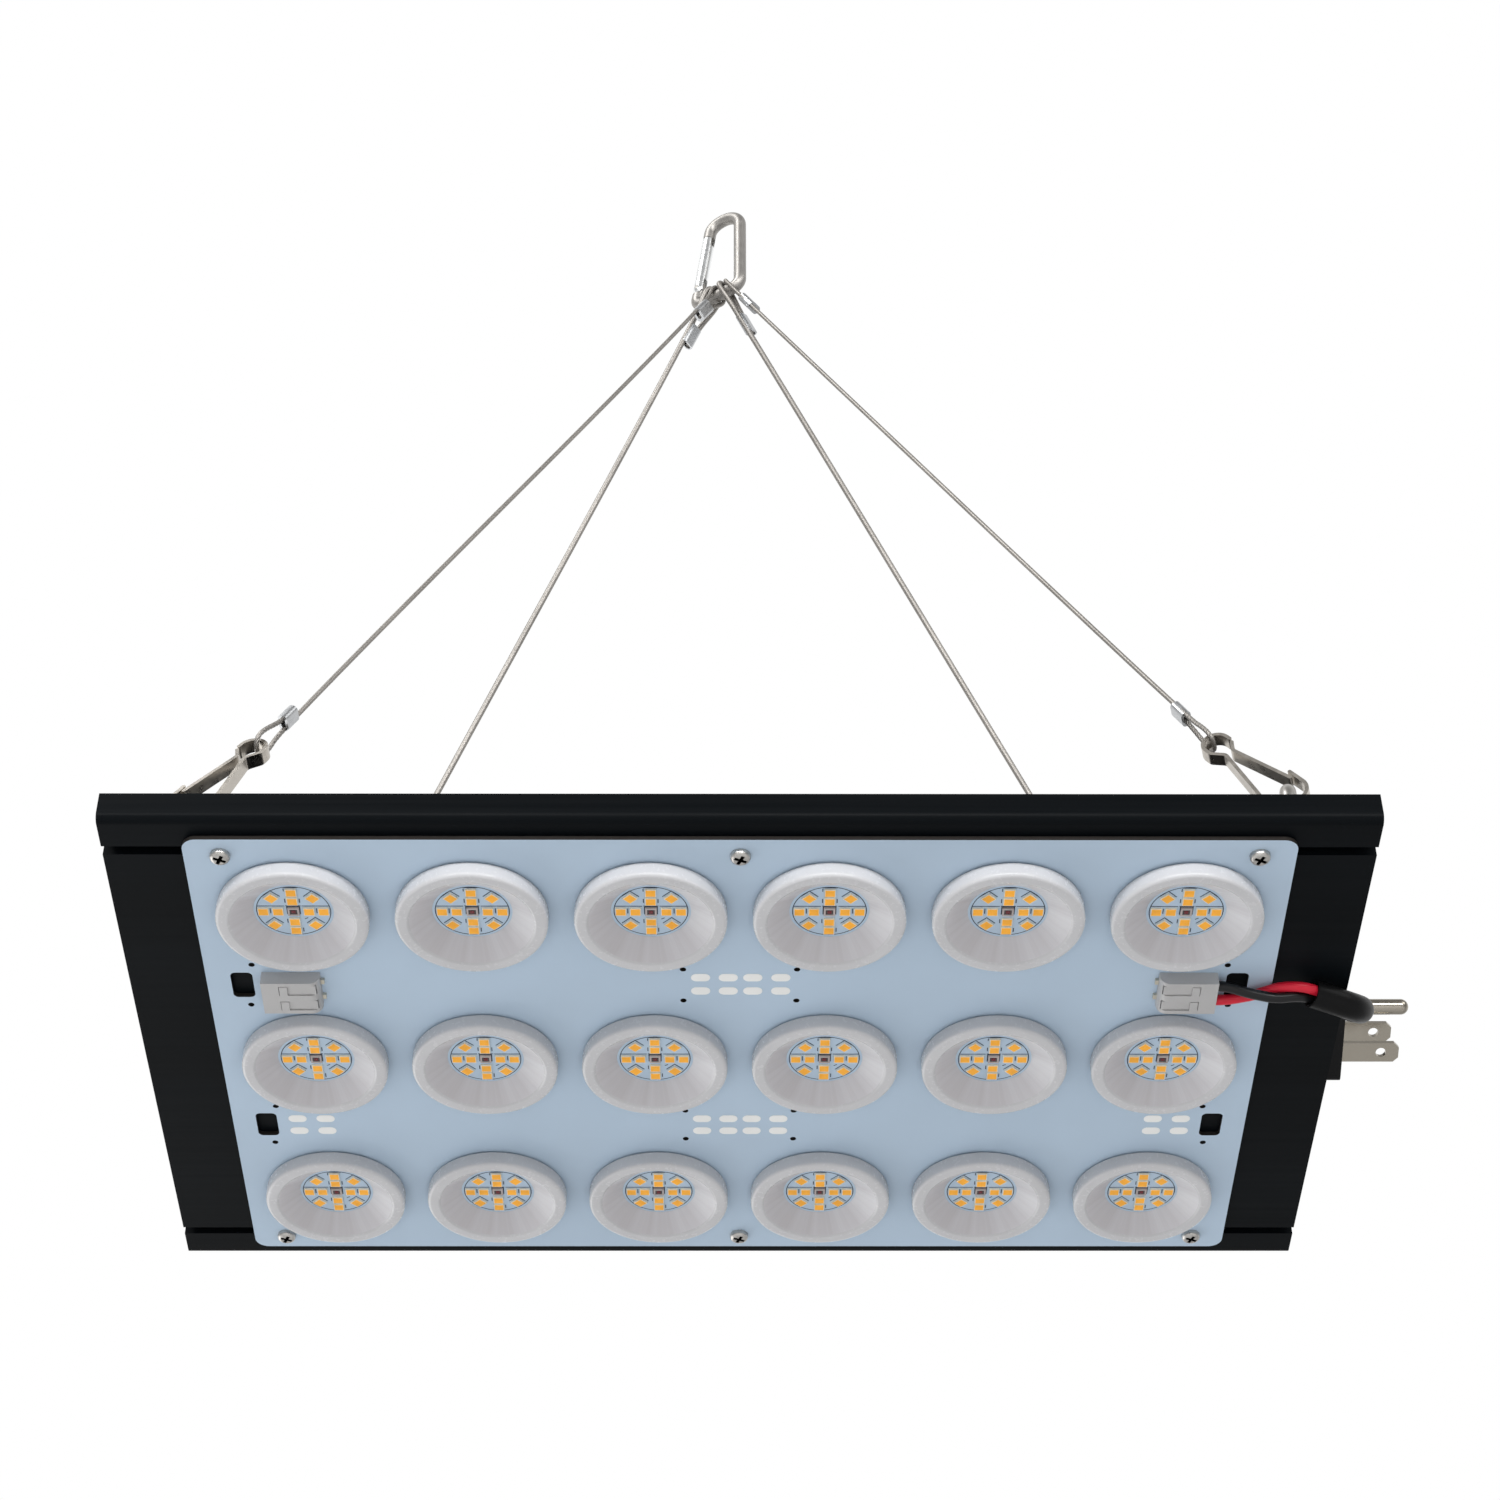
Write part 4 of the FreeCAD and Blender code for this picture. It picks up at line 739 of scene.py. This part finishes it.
def make_print():
    """Each lamp group's ring and the marks of its LEDs."""
    mesh = bmesh.new()
    chevrons = [[(sx * LED_DIAGONAL + a, sy * LED_DIAGONAL + b) for a, b in CHEVRON]
                for sx in (-1, 1) for sy in (-1, 1)]
    for x, y in cup_centres():
        ring = [(x + RING_R * math.cos(math.radians(a)), y + RING_R * math.sin(math.radians(a)))
                for a in range(0, 361, 6)]
        add_stroke(mesh, ring, RING_WIDTH)
        for stroke in STROKES + chevrons:
            add_stroke(mesh, [(x + a, y + b) for a, b in stroke], STROKE_WIDTH)
    bmesh.ops.recalc_face_normals(mesh, faces=mesh.faces)
    new_piece("board_print", mesh, [INK])


# ---- rounded edges -----------------------------------------------------------------------------
EDGE_ROUNDS = {"heat_sink": 0.00035, "led_board": 0.0002, "terminal_left": 0.00025,
               "terminal_right": 0.00025, "plug_pins": 0.0003}
LEVER_ROUND, ROUND_FROM = 0.00012, math.radians(40)
for lever_place in ("left_near", "left_far", "right_near", "right_far"):
    EDGE_ROUNDS["release_lever_" + lever_place] = LEVER_ROUND


def soften_edges():
    """Small rounds on machined and moulded edges of the CAD nodes."""
    for name, width in EDGE_ROUNDS.items():
        bevel = NODES[name].modifiers.new("edge_round", "BEVEL")
        bevel.width = width
        bevel.segments = 2
        bevel.limit_method = "ANGLE"
        bevel.angle_limit = ROUND_FROM


# ---- floor, light ------------------------------------------------------------------------------
FLOOR_HALF, FLOOR_DROP = 6.0, 0.95
# place, width, height and power in watts of each light; all of them face the panel
LIGHTS = {"front": ((0.0, -2.4, PANEL.z + 0.22), 3.0, 0.22, 58.0),
          "low_fill": ((-1.1, 1.0, PANEL.z - 0.85), 1.5, 1.5, 14.0),
          "high_fill": ((-1.2, -1.1, 1.3), 0.5, 1.0, 22.0),
          "right_fill": ((1.6, -1.5, 0.7), 1.2, 1.2, 12.0)}


def make_stage():
    """A plain pale floor under the lamp and even white light, brightest from the front."""
    floor_mesh = bpy.data.meshes.new("floor")
    floor_z = BOARD_LOW.z - FLOOR_DROP
    floor_mesh.from_pydata([(a * FLOOR_HALF, b * FLOOR_HALF, floor_z) for a, b in SQUARE],
                           [], [(0, 1, 2, 3)])
    floor = bpy.data.objects.new("floor", floor_mesh)
    bpy.context.scene.collection.objects.link(floor)
    floor_mesh.materials.append(new_material("pale_floor", (0.66, 0.66, 0.66), 0.9, specular=0.1)[0])
    make_backdrop()
    for name, (at, width, height, power) in LIGHTS.items():
        add_light(name, at, PANEL, width, height, power)
    bpy.context.scene.view_settings.view_transform = "Standard"


def make_backdrop():
    """White behind the lamp, dimmer on the viewer's side of the studio."""
    world = bpy.data.worlds.new("studio")
    world.use_nodes = True
    nodes, links = world.node_tree.nodes, world.node_tree.links
    depth = axis_of(nodes, links, coordinates(nodes, "Generated"), "Y")
    strength = spread(nodes, links, depth, 0.30, 1.0, -0.25, 0.3)
    nodes["Background"].inputs["Color"].default_value = (1, 1, 1, 1)
    links.new(strength, nodes["Background"].inputs["Strength"])
    bpy.context.scene.world = world


def add_light(name, at, towards, width, height, power):
    data = bpy.data.lights.new(name, "AREA")
    data.shape = "RECTANGLE"
    data.size, data.size_y, data.energy = width, height, power
    light = bpy.data.objects.new(name, data)
    bpy.context.scene.collection.objects.link(light)
    light.location = at
    light.rotation_mode = "QUATERNION"
    light.rotation_quaternion = (Vector(towards) - Vector(at)).to_track_quat("-Z", "Y")


# ---- mains cord, in millimetres ----------------------------------------------------------------
CORD_D, CORD_LENGTH = 7.0, 1600.0
COIL_X, COIL_Y, COIL_MEAN_R, COIL_RINGS, COIL_LAYERS = -115.0, 8.0, 38.5, 3, 2
COIL_START, COIL_END, TURN_POINTS = math.radians(-83.0), math.radians(86.0), 16
FIN_TOP, TIE_T = 22.0, 0.8
# in turns: how late the cord starts inwards, and how early and how fast it drops to the lower layer
STEP_IN, DROP_EARLY, DROP_TURNS = 0.5, 0.6, 0.9
CORD_TO_COIL = [(-67, -16, 40.0), (-78, -16.6, 39.6), (-90, -20.5, 37.6), (-101, -27.5, 34.6)]
CORD_TO_PLUG = [(-92, 53.0, 25.7), (-62, 49.0, 25.7), (-20, 50.5, 25.7), (28, 54.0, 25.7),
                (70, 50.0, 26.2), (95, 42.0, 30.0), (111, 35.4, 35.0), (124.5, 33.2, 37.5)]


def coil_points():
    """Turns of the coil: inwards in the upper layer, then outwards in the lower one."""
    outer = COIL_MEAN_R + (COIL_RINGS - 1) / 2 * CORD_D
    base = FIN_TOP + TIE_T + CORD_D / 2
    turns = COIL_RINGS * COIL_LAYERS - (math.pi * 2 - (COIL_END - COIL_START)) / (math.pi * 2)
    count = round(turns * TURN_POINTS)
    points = []
    for i in range(count + 1):
        travelled = i / count * turns
        ring = travelled if travelled <= COIL_RINGS else 2 * COIL_RINGS - travelled
        inward = min(max(ring - STEP_IN, 0.0), COIL_RINGS - 1.0)
        radius = outer - inward * CORD_D
        drop = min(max(travelled - (COIL_RINGS - DROP_EARLY), 0.0) / DROP_TURNS, 1.0)
        height = base + CORD_D * (1.0 - drop)
        angle = COIL_START - travelled * 2 * math.pi
        points.append((COIL_X + radius * math.cos(angle), COIL_Y + radius * math.sin(angle), height))
    return points


def make_mains_cord():
    points = [panel(*p) for p in CORD_TO_COIL + coil_points() + CORD_TO_PLUG]
    curve = nurbs_curve("mains_cord_jacket", points)
    curve.bevel_depth = CORD_D / 2000
    curve.bevel_resolution = 6
    curve.use_fill_caps = True
    curve.materials.append(MATERIALS["cord_black"])
    cord = bpy.data.objects.new("mains_cord_jacket", curve)
    bpy.context.scene.collection.objects.link(cord)
    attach(cord, "lamp")
    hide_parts("mains_cord", "mains_cord_coil")


make_camera()
make_mains_cord()
for rope_name in ROPES:
    make_rope(rope_name)
paint_frame()
for row_number, row_name in enumerate(("near", "middle", "far")):
    make_cup_row(row_number, row_name)
make_leds()
make_print()
soften_edges()
make_stage()
